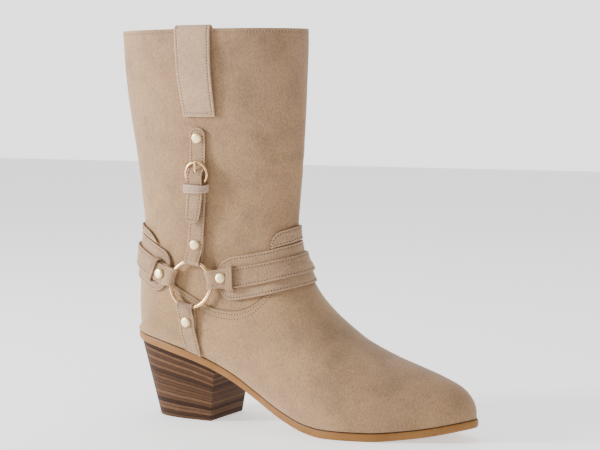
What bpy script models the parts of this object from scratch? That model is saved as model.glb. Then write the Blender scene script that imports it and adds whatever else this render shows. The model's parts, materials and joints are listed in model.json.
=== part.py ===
"""Right harness boot: a hollow mid-calf upper on an outsole and stacked heel, with a ring harness
and a buckled strap on the outer side.

Metres, +Z up. The toe points along +X, the outer side faces -Y and the inner side +Y.
The origin is the centre of the heel's tread on the floor.
"""

import math

import bmesh
import bpy
import numpy as np
from mathutils import Matrix, Vector
from mathutils.bvhtree import BVHTree

# The last: the sizes that the whole boot follows
FOOT_LENGTH = 0.268
BALL_WIDTH = 0.088
HEEL_HEIGHT = 0.056
INSTEP_HEIGHT = 0.150
BOOT_HEIGHT = 0.279
COLLAR_WIDTH = 0.078
TREAD_CENTRE = 0.179

# Upper
SHAFT_WALL = 0.0018
PANEL_STEP = 0.0010
UPPER_ROWS = 36
SIDE_FACES = 13
LOW_FACES = 5

# Sole, heel and insole
SOLE_THICKNESS = 0.006
SOLE_EDGE = 0.0012
SOLE_ROUND = 0.0007
HEEL_INSET = 0.0022
HEEL_BREAST = 0.302
TREAD_LENGTH = 0.054
TREAD_WIDTH = 0.048
INSOLE_THICKNESS = 0.0025
INSOLE_INSET = 0.0043

# Clearance between touching pieces, and under a strap that is laid on a curved form
GAP = 0.0003
LAY_GAP = 0.0005

# Straps
STRAP_THICKNESS = 0.0015
PATCH_THICKNESS = 0.0012
KEEPER_THICKNESS = 0.0012
BACKING_WIDTH = 0.031
HARNESS_WIDTH = 0.0145
LOOP_WIDTH = 0.0130
BUCKLE_STRAP_WIDTH = 0.0120
BOTTOM_STRAP_WIDTH = 0.0130
PULL_WIDTH = 0.0285
PULL_THICKNESS = 0.0020
STATION_STEP = 0.0050
PATCH_STEP = 0.0022
LINE_STEPS = 8

# Hardware
RING_RADIUS = 0.0163
RING_WIRE = 0.0027
FOLD_GAP = 0.00050
BUCKLE_RADIUS = 0.0082
BUCKLE_WIRE = 0.0020
BAR_DROP = 0.0020
BAR_WIRE = 0.0018
PRONG_WIRE = 0.0015
RIVET_RADIUS = 0.0037
RIVET_RISE = 0.0018

# Heights of the middle of the first, second and outer layer of strap over the upper
FIRST_LIFT = LAY_GAP + STRAP_THICKNESS / 2
SECOND_LIFT = FIRST_LIFT + STRAP_THICKNESS + GAP
# The harness and its backing bend more, and lie a little higher
BACKING_LIFT = FIRST_LIFT + LAY_GAP / 2
HARNESS_LIFT = BACKING_LIFT + STRAP_THICKNESS + LAY_GAP * 1.3
OUTER_LIFT = HARNESS_LIFT + STRAP_THICKNESS + GAP
PATCH_LIFT = LAY_GAP * 2 + PATCH_THICKNESS / 2
RING_LIFT = 0.0043

# The outsole's underside: share of the foot's length, height as a share of the heel's
SOLE_LINE = (
    (0.00, 1.000),
    (0.10, 0.930),
    (0.20, 0.830),
    (0.28, 0.720),
    (0.36, 0.560),
    (0.44, 0.350),
    (0.52, 0.160),
    (0.60, 0.035),
    (0.66, 0.000),
    (0.76, 0.000),
    (0.88, 0.050),
    (1.00, 0.160),
)

# Sections of the last from the toe tip to the collar. Each lies in a plane from a low point at
# the back of it to a high point on the ridge or the shaft's front.
# back: the low point along the foot       climb: its rise above the sole, share of what is left
# front: the high point along the foot     top: its level, 1 at the instep and 2 at the collar
# outer, inner: half widths as shares      tread: width at the low point as a share of the widest
# belly: where the section is widest       crown, skirt: how square it is above and below that
# swing: how far the section lies to the inner side, share of half the ball
SECTIONS = (
    (1.000, 0.000, 1.000, 0.115, 0.000, 0.000, 0.97, 0.30, 2.20, 2.4, 0.150),
    (0.990, 0.000, 0.989, 0.178, 0.170, 0.170, 0.96, 0.30, 2.20, 2.4, 0.148),
    (0.960, 0.000, 0.957, 0.235, 0.340, 0.340, 0.95, 0.30, 2.20, 2.4, 0.140),
    (0.910, 0.000, 0.903, 0.278, 0.520, 0.540, 0.94, 0.30, 2.10, 2.4, 0.115),
    (0.850, 0.000, 0.835, 0.320, 0.690, 0.730, 0.93, 0.30, 2.00, 2.4, 0.075),
    (0.780, 0.000, 0.758, 0.367, 0.850, 0.890, 0.92, 0.30, 1.95, 2.4, 0.035),
    (0.700, 0.000, 0.679, 0.433, 0.970, 0.970, 0.91, 0.30, 1.90, 2.3, 0.008),
    (0.610, 0.000, 0.613, 0.522, 0.980, 0.940, 0.88, 0.30, 1.85, 2.2, 0.000),
    (0.520, 0.000, 0.566, 0.606, 0.920, 0.860, 0.83, 0.30, 1.80, 2.2, 0.000),
    (0.430, 0.000, 0.538, 0.676, 0.860, 0.800, 0.78, 0.31, 1.80, 2.1, 0.000),
    (0.340, 0.000, 0.522, 0.740, 0.820, 0.770, 0.80, 0.32, 1.80, 2.1, 0.000),
    (0.250, 0.000, 0.510, 0.803, 0.790, 0.755, 0.86, 0.33, 1.80, 2.1, 0.000),
    (0.160, 0.000, 0.503, 0.872, 0.770, 0.745, 0.87, 0.34, 1.80, 2.1, 0.000),
    (0.080, 0.000, 0.500, 0.940, 0.755, 0.735, 0.74, 0.35, 1.80, 2.0, 0.000),
    (0.030, 0.000, 0.503, 1.003, 0.745, 0.725, 0.43, 0.36, 1.80, 2.0, 0.000),
    (0.015, 0.000, 0.505, 1.050, 0.740, 0.720, 0.00, 0.37, 1.80, 2.0, 0.000),
    (0.010, 0.045, 0.507, 1.100, 0.740, 0.720, 0.00, 0.38, 1.80, 2.0, 0.000),
    (0.008, 0.098, 0.510, 1.160, 0.748, 0.728, 0.00, 0.40, 1.80, 2.0, 0.000),
    (0.011, 0.165, 0.514, 1.240, 0.758, 0.738, 0.00, 0.41, 1.80, 2.0, 0.000),
    (0.018, 0.245, 0.517, 1.335, 0.780, 0.765, 0.00, 0.43, 1.80, 2.0, 0.000),
    (0.020, 0.340, 0.519, 1.445, 0.815, 0.805, 0.00, 0.45, 1.85, 2.0, 0.000),
    (0.011, 0.455, 0.521, 1.575, 0.855, 0.845, 0.00, 0.46, 1.90, 2.0, 0.000),
    (-.005, 0.590, 0.522, 1.708, 0.905, 0.895, 0.00, 0.47, 1.95, 2.0, 0.000),
    (-.026, 0.740, 0.523, 1.830, 0.955, 0.945, 0.00, 0.48, 2.00, 2.0, 0.000),
    (-.041, 0.880, 0.524, 1.925, 0.985, 0.975, 0.00, 0.49, 2.00, 2.0, 0.000),
    (-.047, 1.000, 0.524, 2.000, 1.000, 0.990, 0.00, 0.49, 2.00, 2.0, 0.000),
)
HEEL_ROW = 15
LEG_CLIMB = 0.30

# The foot panel's upper edge in side view: along the foot, level
PANEL_EDGE = (
    (-0.100, 0.860),
    (0.000, 0.830),
    (0.080, 0.765),
    (0.150, 0.690),
    (0.200, 0.641),
    (0.245, 0.603),
    (0.287, 0.568),
    (0.327, 0.549),
    (0.371, 0.544),
    (0.418, 0.564),
    (0.447, 0.603),
    (0.475, 0.660),
    (0.505, 0.715),
    (0.560, 0.760),
    (0.660, 0.780),
)

# The ankle's upright axis, along the foot, about which the harness is charted
ANKLE_AXIS = 0.254

# Middle line of the harness from the ring, forward round the ankle and back to the ring:
# degrees round the ankle axis, level
HARNESS_LINE = (
    (-93.0, 0.658),
    (-80.0, 0.669),
    (-66.0, 0.681),
    (-52.0, 0.691),
    (-42.0, 0.695),
    (-28.0, 0.712),
    (-18.0, 0.730),
    (-8.0, 0.752),
    (4.0, 0.766),
    (18.0, 0.756),
    (35.0, 0.738),
    (60.0, 0.722),
    (95.0, 0.722),
    (125.0, 0.738),
    (150.0, 0.765),
    (170.0, 0.785),
    (187.0, 0.784),
    (202.0, 0.760),
    (217.0, 0.726),
    (228.0, 0.703),
    (240.0, 0.687),
    (253.0, 0.673),
    (267.0, 0.658),
)
# Distances from the ring's centre along the harness line, shares of the ring's radius
# end: the backing strap's end   rivet: the rivet   keeper: the keeper's middle
HARNESS_PLACES = {
    "front": {"end": 1.266, "rivet": 1.546, "keeper": 1.940},
    "rear": {"end": 1.348, "rivet": 1.644, "keeper": 2.137},
}
# Where a strap leaves its layer for the ring, and where it meets it again beyond its loop,
# in shares of the wire outside the ring's radius
HARNESS_LOOP = {"leave": 1.6, "meet": 2.5}
SMALL_LOOP = {"leave": 1.7, "meet": 2.8}
KEEPER_LENGTH = 0.0046
PATCH_WIDTH = 0.0100
# span: degrees round the ankle at which a patch begins and ends
# width: at its middle, share of the front patch's
# taper: how far along it takes to rise to that width, share of the front patch's
# ease: 0.5 rises round and steep, 1.5 slowly at first
FRONT_PATCH = {"span": (-17.0, 17.0), "width": 1.0, "taper": 1.1, "ease": 0.7}
REAR_PATCH = {"span": (143.0, 213.0), "width": 0.5, "taper": 1.6, "ease": 1.0}
PATCH_END = 0.06

# The upright strap's middle line from the ring to its top: along the foot, level
UPRIGHT_LINE = (
    (0.2475, 0.658),
    (0.256, 0.847),
    (0.261, 0.989),
    (0.263, 1.097),
    (0.266, 1.216),
    (0.267, 1.330),
    (0.268, 1.470),
)
# Distances from the ring's centre to the rivet and the doubled end, shares of the ring's radius
UPRIGHT_RIVET = 1.750
UPRIGHT_BACK_END = 2.136
# Places on it, as shares of its length
BUCKLE_PLACE = 0.708
TOP_RIVET = 0.930
STRAP_TOP = 0.996

# Rows of the two upright straps at the buckle, in shares of the buckle's radius:
# place up from the buckle's centre, height off the boot
LOWER_AT_BUCKLE = (
    (-0.732, 0.360),
    (-0.440, 0.754),
    (-0.354, 0.829),
)
LOWER_BEHIND_BUCKLE = (
    (-0.402, 0.335),
    (-0.585, 0.152),
    (-0.976, 0.140),
)
UPPER_AT_BUCKLE = (
    (0.524, 0.340),
    (0.317, 0.610),
    (0.159, 0.890),
    (-0.049, 1.055),
    (-0.244, 1.080),
    (-0.610, 1.030),
    (-1.000, 0.915),
)
BUCKLE_LIFT = 0.61
# Distances from the buckle's centre along the strap, shares of its radius
# below: the lower strap rises   back end: its doubled end   above, lie: the upper strap
# comes down to the frame from where it lies on the shaft
BUCKLE_RUN = {"below": 1.15, "back end": 2.575, "above": 1.25, "lie": 2.2}
STRAP_NECK = 0.70
BUCKLE_KEEPER_LENGTH = 0.0060
BUCKLE_KEEPER_PLACE = -1.25

# The free tail below the buckle, in shares of the buckle's radius: place, height off the boot,
# drift to the rear, half width
TAIL = (
    (-1.28, 0.885, 0.00, 0.73),
    (-1.80, 0.875, 0.02, 0.73),
    (-2.50, 0.870, 0.10, 0.72),
    (-3.20, 0.865, 0.19, 0.70),
    (-3.75, 0.860, 0.28, 0.67),
    (-4.05, 0.855, 0.33, 0.58),
    (-4.22, 0.855, 0.36, 0.36),
)

# The bottom strap's middle line from the ring to the sole: along the foot, level
BOTTOM_LINE = (
    (0.2475, 0.658),
    (0.236, 0.570),
    (0.237, 0.514),
    (0.240, 0.443),
    (0.246, 0.374),
    (0.250, 0.336),
)
# Distances from the ring's centre, shares of the ring's radius
BOTTOM_RIVET = 1.661
BOTTOM_BACK_END = 1.936
# Places on it, as shares of its length
BOTTOM_LIE_DOWN = 0.860
BOTTOM_END = 0.955

# Pull strap: top and bottom of its outer side, along the foot and level
PULL_TOP = (0.262, 2.0)
PULL_BOTTOM = (0.276, 1.525)
PULL_TAPER = 0.86
PULL_BULGE = 0.0022
PULL_INSIDE = 0.028

SUEDE = (0.47, 0.36, 0.28)
SUEDE_PALE = (0.52, 0.41, 0.33)
SOLE_TAN = (0.52, 0.31, 0.14)
HEEL_BROWN = (0.17, 0.09, 0.05)
LINING = (0.50, 0.42, 0.34)
PALE_GOLD = (0.86, 0.72, 0.50)


def place(along):
    """X of a place given as a share of the foot's length."""
    return (along - TREAD_CENTRE) * FOOT_LENGTH


def level(share):
    """Height of a level: 0 on the floor, 1 at the instep, 2 at the collar."""
    return INSTEP_HEIGHT * min(share, 1.0) + (BOOT_HEIGHT - INSTEP_HEIGHT) * max(share - 1.0, 0.0)


def smooth(table, value):
    """Height at value of a curve through a table's first two columns, without overshoot."""
    xs = [row[0] for row in table]
    ys = [row[1] for row in table]
    steps = [b - a for a, b in zip(xs, xs[1:])]
    slopes = [(b - a) / step for a, b, step in zip(ys, ys[1:], steps)]
    lean = [slopes[0]]
    for before, after in zip(slopes, slopes[1:]):
        same_way = before * after > 0
        lean.append(2 * before * after / (before + after) if same_way else 0.0)
    lean.append(slopes[-1])
    value = min(max(value, xs[0]), xs[-1])
    k = max(i for i in range(len(steps)) if xs[i] <= value)
    u = (value - xs[k]) / steps[k]
    rise = (3 - 2 * u) * u * u * (ys[k + 1] - ys[k])
    bend = steps[k] * u * (1 - u) * ((1 - u) * lean[k] - u * lean[k + 1])
    return ys[k] + rise + bend


def between(table, t):
    """The columns of a table at row t, on a smooth curve through its rows."""
    last = len(table) - 1
    k = min(int(t), last - 1)
    u = t - k
    a, b, c, d = (table[min(max(k + step, 0), last)] for step in (-1, 0, 1, 2))
    return b + 0.5 * u * (c - a + u * (2 * a - 5 * b + 4 * c - d + u * (3 * (b - c) + d - a)))


def section_row(t):
    """The sections' columns at row t, which may lie past the collar."""
    table = np.array(SECTIONS)
    last = len(table) - 1
    if t >= last:
        return table[last] + (table[last] - table[last - 1]) * (t - last)
    nose = table[1].copy()
    nose[3] = 2 * table[0][3] - table[1][3]
    nose[4:6] *= -1
    row = between(np.vstack([nose, table, 2 * table[last] - table[last - 1]]), t + 1)
    row[1] = max(row[1], 0.0)
    row[6] = max(row[6], 0.0)
    return row


def foot_rows():
    """The rows of the upper that stand on the sole, from the toe to the heel's back."""
    step = (len(SECTIONS) - 1) / (UPPER_ROWS - 1)
    return [step * k for k in range(round(HEEL_ROW / step) + 1)]


def sole_knots():
    """Places and heights along the outsole's underside where all pieces on it have corners."""
    alongs = [section_row(t)[0] for t in foot_rows()[::-1]]
    return [place(a) for a in alongs], [HEEL_HEIGHT * smooth(SOLE_LINE, a) for a in alongs]


SOLE_KNOTS = sole_knots()


def sole_bottom(x):
    """Height of the outsole's underside at x."""
    return float(np.interp(x, *SOLE_KNOTS))


def sole_top(x):
    return sole_bottom(x) + SOLE_THICKNESS


def section_points(t, low_faces, high_faces):
    """One section's points from the outer low edge over the ridge to the inner low edge."""
    back, climb, front, top, outer, inner, tread, belly, crown, skirt, swing = section_row(t)
    ground = sole_top(place(back))
    low = Vector((place(back), 0, ground + climb * (BOOT_HEIGHT - ground)))
    high = Vector((place(front), 0, level(top)))
    leg = min(1.0, climb / LEG_CLIMB)
    half = (BALL_WIDTH + (COLLAR_WIDTH - BALL_WIDTH) * leg) / 2
    marks = []
    for k in range(low_faces):
        turn = math.pi / 2 * (1 - k / low_faces)
        wide = tread + (1 - tread) * max(math.cos(turn), 0.0) ** (2 / skirt)
        marks.append((belly * (1 - math.sin(turn) ** (2 / skirt)), wide if k else tread))
    for k in range(high_faces + 1):
        turn = math.pi / 2 * k / high_faces
        wide = math.cos(turn) ** (2 / crown) if k < high_faces else 0.0
        marks.append((belly + (1 - belly) * math.sin(turn) ** (2 / crown), wide))
    middle = Vector((0, swing * BALL_WIDTH / 2, 0))
    outer_side = [low.lerp(high, v) + middle - Vector((0, half * outer * w, 0)) for v, w in marks]
    inner_side = [low.lerp(high, v) + middle + Vector((0, half * inner * w, 0)) for v, w in marks]
    return outer_side + inner_side[-2::-1]


def upper_rows(count, low_faces, side_faces, first=0.0, past=0.0):
    """Sections of the last, evenly spread over the table's rows."""
    last = len(SECTIONS) - 1 + past
    ts = [first + (last - first) * k / (count - 1) for k in range(count)]
    return [section_points(t, low_faces, side_faces - low_faces) for t in ts]


def surface_bmesh(rows):
    """An open surface over rows of points, facing out, with doubled points joined."""
    bm = bmesh.new()
    verts = [[bm.verts.new(p) for p in row] for row in rows]
    for low, high in zip(verts, verts[1:]):
        for a, b, c, d in zip(low, low[1:], high[1:], high):
            bm.faces.new((a, b, c, d))
    bmesh.ops.remove_doubles(bm, verts=bm.verts, dist=1e-5)
    bm.normal_update()
    return bm


def panel_line(x):
    """Height of the foot panel's upper edge at x."""
    return level(smooth(PANEL_EDGE, x / FOOT_LENGTH + TREAD_CENTRE))


def laying_form(upper):
    """The upper's outer face as straps meet it: its smooth form, and the solid's own faces."""
    bm = surface_bmesh(upper_rows(101, 9, 26))
    margin = 6 * PANEL_STEP
    for vert in bm.verts:
        over_foot = vert.co.x < place(PANEL_EDGE[-1][0])
        if over_foot and vert.co.z > panel_line(vert.co.x) + margin:
            vert.co -= vert.normal * PANEL_STEP
    smooth_form = BVHTree.FromBMesh(bm)
    bm.free()
    return smooth_form, BVHTree.FromObject(upper, bpy.context.evaluated_depsgraph_get())


def cast(form, start, way):
    """Where a ray first meets the form, with the smooth form's outward normal."""
    smooth_form, solid = form
    point, normal, _, _ = smooth_form.ray_cast(start, way)
    if point is None:
        point, normal, _, _ = smooth_form.find_nearest(start)
    face_point, _, _, _ = solid.ray_cast(start, way)
    if face_point and (face_point - point).dot(way) < 0:
        point = face_point
    return point, normal


def round_ankle(form, degrees, share):
    """The surface point at degrees round the ankle's axis and a level."""
    turn = math.radians(degrees)
    way = Vector((math.cos(turn), math.sin(turn), 0))
    axis = Vector((place(ANKLE_AXIS), 0, level(share)))
    return cast(form, axis + way * FOOT_LENGTH, -way)


def on_side(form, along, share):
    """The outer side's surface point at a place along the foot and a level."""
    start = Vector((place(along), -FOOT_LENGTH, level(share)))
    return cast(form, start, Vector((0, 1, 0)))


class Line:
    """A strap's middle line on the upper, walked by distance from its start."""

    def __init__(self, form, charted, table):
        self.form = form
        rows = np.array(table)
        steps = LINE_STEPS * (len(rows) - 1)
        spots = [charted(form, *between(rows, k / LINE_STEPS)) for k in range(steps + 1)]
        self.path = []
        for k, (point, _) in enumerate(spots):
            near = spots[max(k - 2, 0) : k + 3]
            self.path.append((point, sum((n for _, n in near), Vector()).normalized()))
        self.marks = [0.0]
        for (a, _), (b, _) in zip(self.path, self.path[1:]):
            self.marks.append(self.marks[-1] + (b - a).length)
        self.length = self.marks[-1]

    def spot(self, distance):
        """Point and outward normal at a distance."""
        distance = min(max(distance, 0.0), self.length)
        k = 0
        while k < len(self.path) - 2 and self.marks[k + 1] < distance:
            k += 1
        u = (distance - self.marks[k]) / (self.marks[k + 1] - self.marks[k])
        (a, n), (b, m) = self.path[k], self.path[k + 1]
        return a.lerp(b, u), n.lerp(m, u).normalized()

    def at(self, distance):
        """Point, direction and outward normal at a distance."""
        point, out = self.spot(distance)
        ahead = self.spot(distance + STATION_STEP / 2)[0]
        behind = self.spot(distance - STATION_STEP / 2)[0]
        return point, (ahead - behind).normalized(), out

    def row(self, distance, marks):
        """Points across the line at marks of (offset, lift), each lifted off the upper."""
        point, way, out = self.at(distance)
        across = out.cross(way).normalized()
        points = []
        for w, lift in marks:
            hit, normal = cast(self.form, point + across * w + out * 0.02, -out)
            points.append(hit + normal * lift)
        return points


def rounded_stations(start, end, half, round_start=0.0, round_end=0.0):
    """Distances along a strap with its half width at each, for ends rounded by a radius."""
    marks = []
    for k in range(4 if round_start else 0):
        turn = math.radians(30 * k)
        marks.append((start + round_start * (1 - math.cos(turn)),
                      half - round_start * (1 - math.sin(turn))))
    first = start + round_start
    last = end - round_end
    steps = max(1, round((last - first) / STATION_STEP))
    for k in range(1 if round_start else 0, steps + (0 if round_end else 1)):
        marks.append((first + (last - first) * k / steps, half))
    for k in range(4 if round_end else 0):
        turn = math.radians(90 - 30 * k)
        marks.append((end - round_end * (1 - math.cos(turn)),
                      half - round_end * (1 - math.sin(turn))))
    return marks


def new_material(name, colour, roughness, metallic=0.0):
    material = bpy.data.materials.new(name)
    material.use_nodes = True
    shader = material.node_tree.nodes["Principled BSDF"]
    shader.inputs["Base Color"].default_value = (*colour, 1.0)
    shader.inputs["Roughness"].default_value = roughness
    shader.inputs["Metallic"].default_value = metallic
    material.diffuse_color = (*colour, 1.0)
    return material


def new_object(name, bm, collection, material=None):
    """An object from a bmesh, which is freed."""
    mesh = bpy.data.meshes.new(name)
    bm.to_mesh(mesh)
    bm.free()
    obj = bpy.data.objects.new(name, mesh)
    collection.objects.link(obj)
    if material:
        mesh.materials.append(material)
        mesh.shade_smooth()
        mesh.set_sharp_from_angle(angle=math.radians(40))
    else:
        obj.hide_render = True
        obj.display_type = "WIRE"
    return obj


def thicken(obj, thickness, offset=0.0):
    """Solidify: offset -1 grows inward, 0 both ways."""
    wall = obj.modifiers.new("thickness", "SOLIDIFY")
    wall.thickness = thickness
    wall.offset = offset
    wall.use_even_offset = True


def combine(obj, other, operation):
    cut = obj.modifiers.new(operation.lower(), "BOOLEAN")
    cut.object = other
    cut.operation = operation


def sheet(name, rows, thickness, collection, material):
    """A strap or patch: a surface over rows of points, thickened both ways."""
    obj = new_object(name, surface_bmesh(rows), collection, material)
    thicken(obj, thickness)
    return obj


def prism(name, outline, low, high, collection):
    """A cutter: an outline in side view, as (x, z), drawn out along Y."""
    bm = bmesh.new()
    face = bm.faces.new([bm.verts.new((x, low, z)) for x, z in outline])
    drawn = bmesh.ops.extrude_face_region(bm, geom=[face])
    moved = [g for g in drawn["geom"] if isinstance(g, bmesh.types.BMVert)]
    bmesh.ops.translate(bm, verts=moved, vec=(0, high - low, 0))
    bmesh.ops.recalc_face_normals(bm, faces=bm.faces)
    return new_object(name, bm, collection)


def make_upper(parts, cutters, material):
    """The hollow wall, thinned above the foot panel's edge so that the panel stands a step out."""
    rows = upper_rows(UPPER_ROWS, LOW_FACES, SIDE_FACES)
    upper = new_object("upper", surface_bmesh(rows), parts, material)
    thicken(upper, SHAFT_WALL + PANEL_STEP, -1.0)
    margin = 3 * PANEL_STEP
    rows = upper_rows(UPPER_ROWS - 4, LOW_FACES, SIDE_FACES, first=5.0, past=0.3)
    skin = new_object("shaft_skin", surface_bmesh(rows), cutters)
    thicken(skin, PANEL_STEP + margin, 1.0 - 2 * PANEL_STEP / (PANEL_STEP + margin))
    outline = []
    for k in range(25):
        along = PANEL_EDGE[0][0] + (PANEL_EDGE[-1][0] - PANEL_EDGE[0][0]) * k / 24
        outline.append((place(along), panel_line(place(along))))
    above = BOOT_HEIGHT + 10 * margin
    outline += [(outline[-1][0], above), (outline[0][0], above)]
    side = prism("shaft_side", outline, -BALL_WIDTH, BALL_WIDTH, cutters)
    combine(skin, side, "INTERSECT")
    combine(upper, skin, "DIFFERENCE")
    return upper


def feather_line():
    """The upper's low edge in plan as outer and inner points, from the heel to the toe."""
    outer = []
    inner = []
    for t in foot_rows()[::-1]:
        points = section_points(t, 2, 2)
        outer.append(points[0].xy)
        inner.append(points[-1].xy)
    return outer, inner


def grown(outer, inner, distance):
    """The plan outline moved out by a distance, as outer and inner points of equal number."""
    loop = outer + inner[-2:0:-1]
    moved = []
    for k, point in enumerate(loop):
        way = (loop[(k + 1) % len(loop)] - loop[k - 1]).normalized()
        moved.append(point + Vector((way.y, -way.x)) * distance)
    count = len(outer)
    return moved[:count], [moved[0]] + moved[:count - 2:-1]


def slab(levels, name, collection, material):
    """A closed solid over levels of (outer, inner, height function), lowest first."""
    bm = bmesh.new()
    rings = []
    for outer, inner, height in levels:
        loop = outer + inner[-2:0:-1]
        rings.append([bm.verts.new((p.x, p.y, height(p.x))) for p in loop])
    for low, high in zip(rings, rings[1:]):
        for k in range(len(low)):
            j = (k + 1) % len(low)
            bm.faces.new((low[k], low[j], high[j], high[k]))
    half = len(levels[0][0])
    for ring in (rings[0], rings[-1]):
        side_a = ring[:half]
        side_b = [ring[0]] + ring[:half - 2:-1]
        for k in range(half - 1):
            corners = [side_a[k], side_a[k + 1], side_b[k + 1], side_b[k]]
            bm.faces.new([v for i, v in enumerate(corners) if v not in corners[:i]])
    bmesh.ops.recalc_face_normals(bm, faces=bm.faces)
    return new_object(name, bm, collection, material)


def make_outsole(parts, material):
    """The tan sole: outline of the last grown by the sole's edge, with softened corners."""
    outer, inner = feather_line()
    full = grown(outer, inner, SOLE_EDGE)
    trimmed = grown(outer, inner, SOLE_EDGE - SOLE_ROUND)
    lip = SOLE_THICKNESS * 0.2

    def raised(rise):
        return lambda x: sole_bottom(x) + rise

    levels = [
        (*trimmed, raised(0.0)),
        (*full, raised(lip)),
        (*full, raised(SOLE_THICKNESS - GAP - lip)),
        (*trimmed, raised(SOLE_THICKNESS - GAP)),
    ]
    return slab(levels, "outsole", parts, material)


def make_heel(parts, material):
    """The stacked block: the seat's outline under the sole, drawn in to the tread."""
    outer, inner = feather_line()
    outer, inner = grown(outer, inner, SOLE_EDGE - HEEL_INSET)
    breast = place(HEEL_BREAST)
    back = outer[0].x
    steps = 10

    def trimmed(side):
        line = []
        for k in range(steps + 1):
            x = back + (breast - back) * (k / steps) ** 1.6
            j = next(i for i in range(1, len(side)) if side[i].x >= x or i == len(side) - 1)
            u = (x - side[j - 1].x) / (side[j].x - side[j - 1].x)
            line.append(side[j - 1].lerp(side[j], u))
        return line

    outer = trimmed(outer)
    inner = trimmed(inner)
    top_middle = (back + breast) / 2
    wide = max(p.y for p in inner) - min(p.y for p in outer)

    def drawn_in(share):
        long = 1 + (TREAD_LENGTH / (breast - back) - 1) * share
        across = 1 + (TREAD_WIDTH / wide - 1) * share

        def moved(side):
            return [Vector((top_middle * (1 - share) + (p.x - top_middle) * long, p.y * across))
                    for p in side]

        return moved(outer), moved(inner)

    levels = []
    for share in (1.0, 0.75, 0.5, 0.25, 0.0):
        ring = drawn_in(share)
        heights = {round(p.x, 7): (sole_bottom(q.x) - 1.5 * GAP) * (1 - share)
                   for side, first in zip(ring, (outer, inner)) for p, q in zip(side, first)}
        levels.append((*ring, lambda x, heights=heights: heights[round(x, 7)]))
    return slab(levels, "heel", parts, material)


def make_insole(parts, material):
    outer, inner = feather_line()
    outline = grown(outer, inner, -INSOLE_INSET)
    levels = [
        (*outline, sole_top),
        (*outline, lambda x: sole_top(x) + INSOLE_THICKNESS),
    ]
    return slab(levels, "insole", parts, material)


def laid(half, lift, count=3, shift=0.0):
    """Marks across a flat strip: offset and lift of each point."""
    return [(shift + half * (2 * j / (count - 1) - 1), lift) for j in range(count)]


def laid_rows(line, stations, lift, count=3, shift=0.0):
    return [line.row(s, laid(half, lift, count, shift)) for s, half in stations]


def even_stations(start, end, half):
    steps = max(1, round(abs(end - start) / STATION_STEP))
    return [(start + (end - start) * k / steps, half) for k in range(steps + 1)]


def fold(wire, inward, out, across, radius, half, bend=0.0):
    """Rows of an arc round a wire, from its boot side over the inward side to its outer side."""
    rows = []
    for k in range(7):
        turn = math.pi * k / 6
        arm = (inward * math.sin(turn) - out * math.cos(turn)) * radius
        row = []
        for w in (-half, 0.0, half):
            sag = bend - math.sqrt(bend * bend - w * w) if bend else 0.0
            row.append(wire + inward * sag + across * w + arm)
        rows.append(row)
    return rows


class RingSeat:
    """Where the ring lies: its centre and plane over the upper, and its four loops."""

    def __init__(self, harness, upright, bottom):
        spots = {
            "front": harness.at(RING_RADIUS)[0],
            "rear": harness.at(harness.length - RING_RADIUS)[0],
            "top": upright.at(RING_RADIUS)[0],
            "bottom": bottom.at(RING_RADIUS)[0],
        }
        up = (spots["top"] - spots["bottom"]).normalized()
        forward = (spots["front"] - spots["rear"]).normalized()
        self.out = forward.cross(up).normalized()
        if self.out.y > 0:
            self.out.negate()
        middle = upright.at(0.0)[0]
        reach = max((p - middle).dot(self.out) for p in spots.values())
        self.centre = middle + self.out * (max(reach, 0.0) + RING_LIFT)
        self.ways = {}
        for name, spot in spots.items():
            way = spot - self.centre
            self.ways[name] = (way - self.out * way.dot(self.out)).normalized()

    def loop(self, name, line_way, half):
        """The fold of a strap round the ring's wire at one of the four places."""
        way = self.ways[name]
        across = self.out.cross(line_way)
        across = (across - way * across.dot(way)).normalized()
        radius = RING_WIRE / 2 + FOLD_GAP + STRAP_THICKNESS / 2
        wire = self.centre + way * RING_RADIUS
        rows = fold(wire, -way, self.out, across, radius, half, RING_RADIUS)
        beyond = way * RING_WIRE * 0.8 - self.out * RING_WIRE * 0.1
        return rows + [[point + beyond for point in rows[-1]]]


def make_harness_strap(line, seat, parts, material):
    """One strap: doubled at the front, round the ring's wire, round the ankle and back."""
    half = LOOP_WIDTH / 2
    wide = HARNESS_WIDTH / 2
    clear = RING_RADIUS + RING_WIRE * HARNESS_LOOP["leave"]
    rise = RING_RADIUS + RING_WIRE * HARNESS_LOOP["meet"]
    front = HARNESS_PLACES["front"]["keeper"] * RING_RADIUS + KEEPER_LENGTH * 0.3
    rear = HARNESS_PLACES["rear"]["keeper"] * RING_RADIUS + KEEPER_LENGTH * 0.3
    end = line.length
    rows = laid_rows(line, even_stations(front, rise, half), OUTER_LIFT)
    rows += seat.loop("front", line.at(RING_RADIUS)[1], half)[::-1]
    rows += laid_rows(line, [(clear, half)], HARNESS_LIFT)
    rows += laid_rows(line, even_stations(rise, end - rise, wide), HARNESS_LIFT)
    rows += laid_rows(line, [(end - clear, half)], HARNESS_LIFT)
    rows += seat.loop("rear", line.at(end - RING_RADIUS)[1], half)
    rows += laid_rows(line, even_stations(end - rise, end - rear, half), OUTER_LIFT)
    return sheet("harness_strap", rows, STRAP_THICKNESS, parts, material)


def make_backing_strap(line, parts, material):
    start = HARNESS_PLACES["front"]["end"] * RING_RADIUS
    end = line.length - HARNESS_PLACES["rear"]["end"] * RING_RADIUS
    corner = BACKING_WIDTH * 0.42
    stations = rounded_stations(start, end, BACKING_WIDTH / 2, corner, corner)
    rows = laid_rows(line, stations, BACKING_LIFT, 5)
    return sheet("backing_strap", rows, STRAP_THICKNESS, parts, material)


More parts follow.
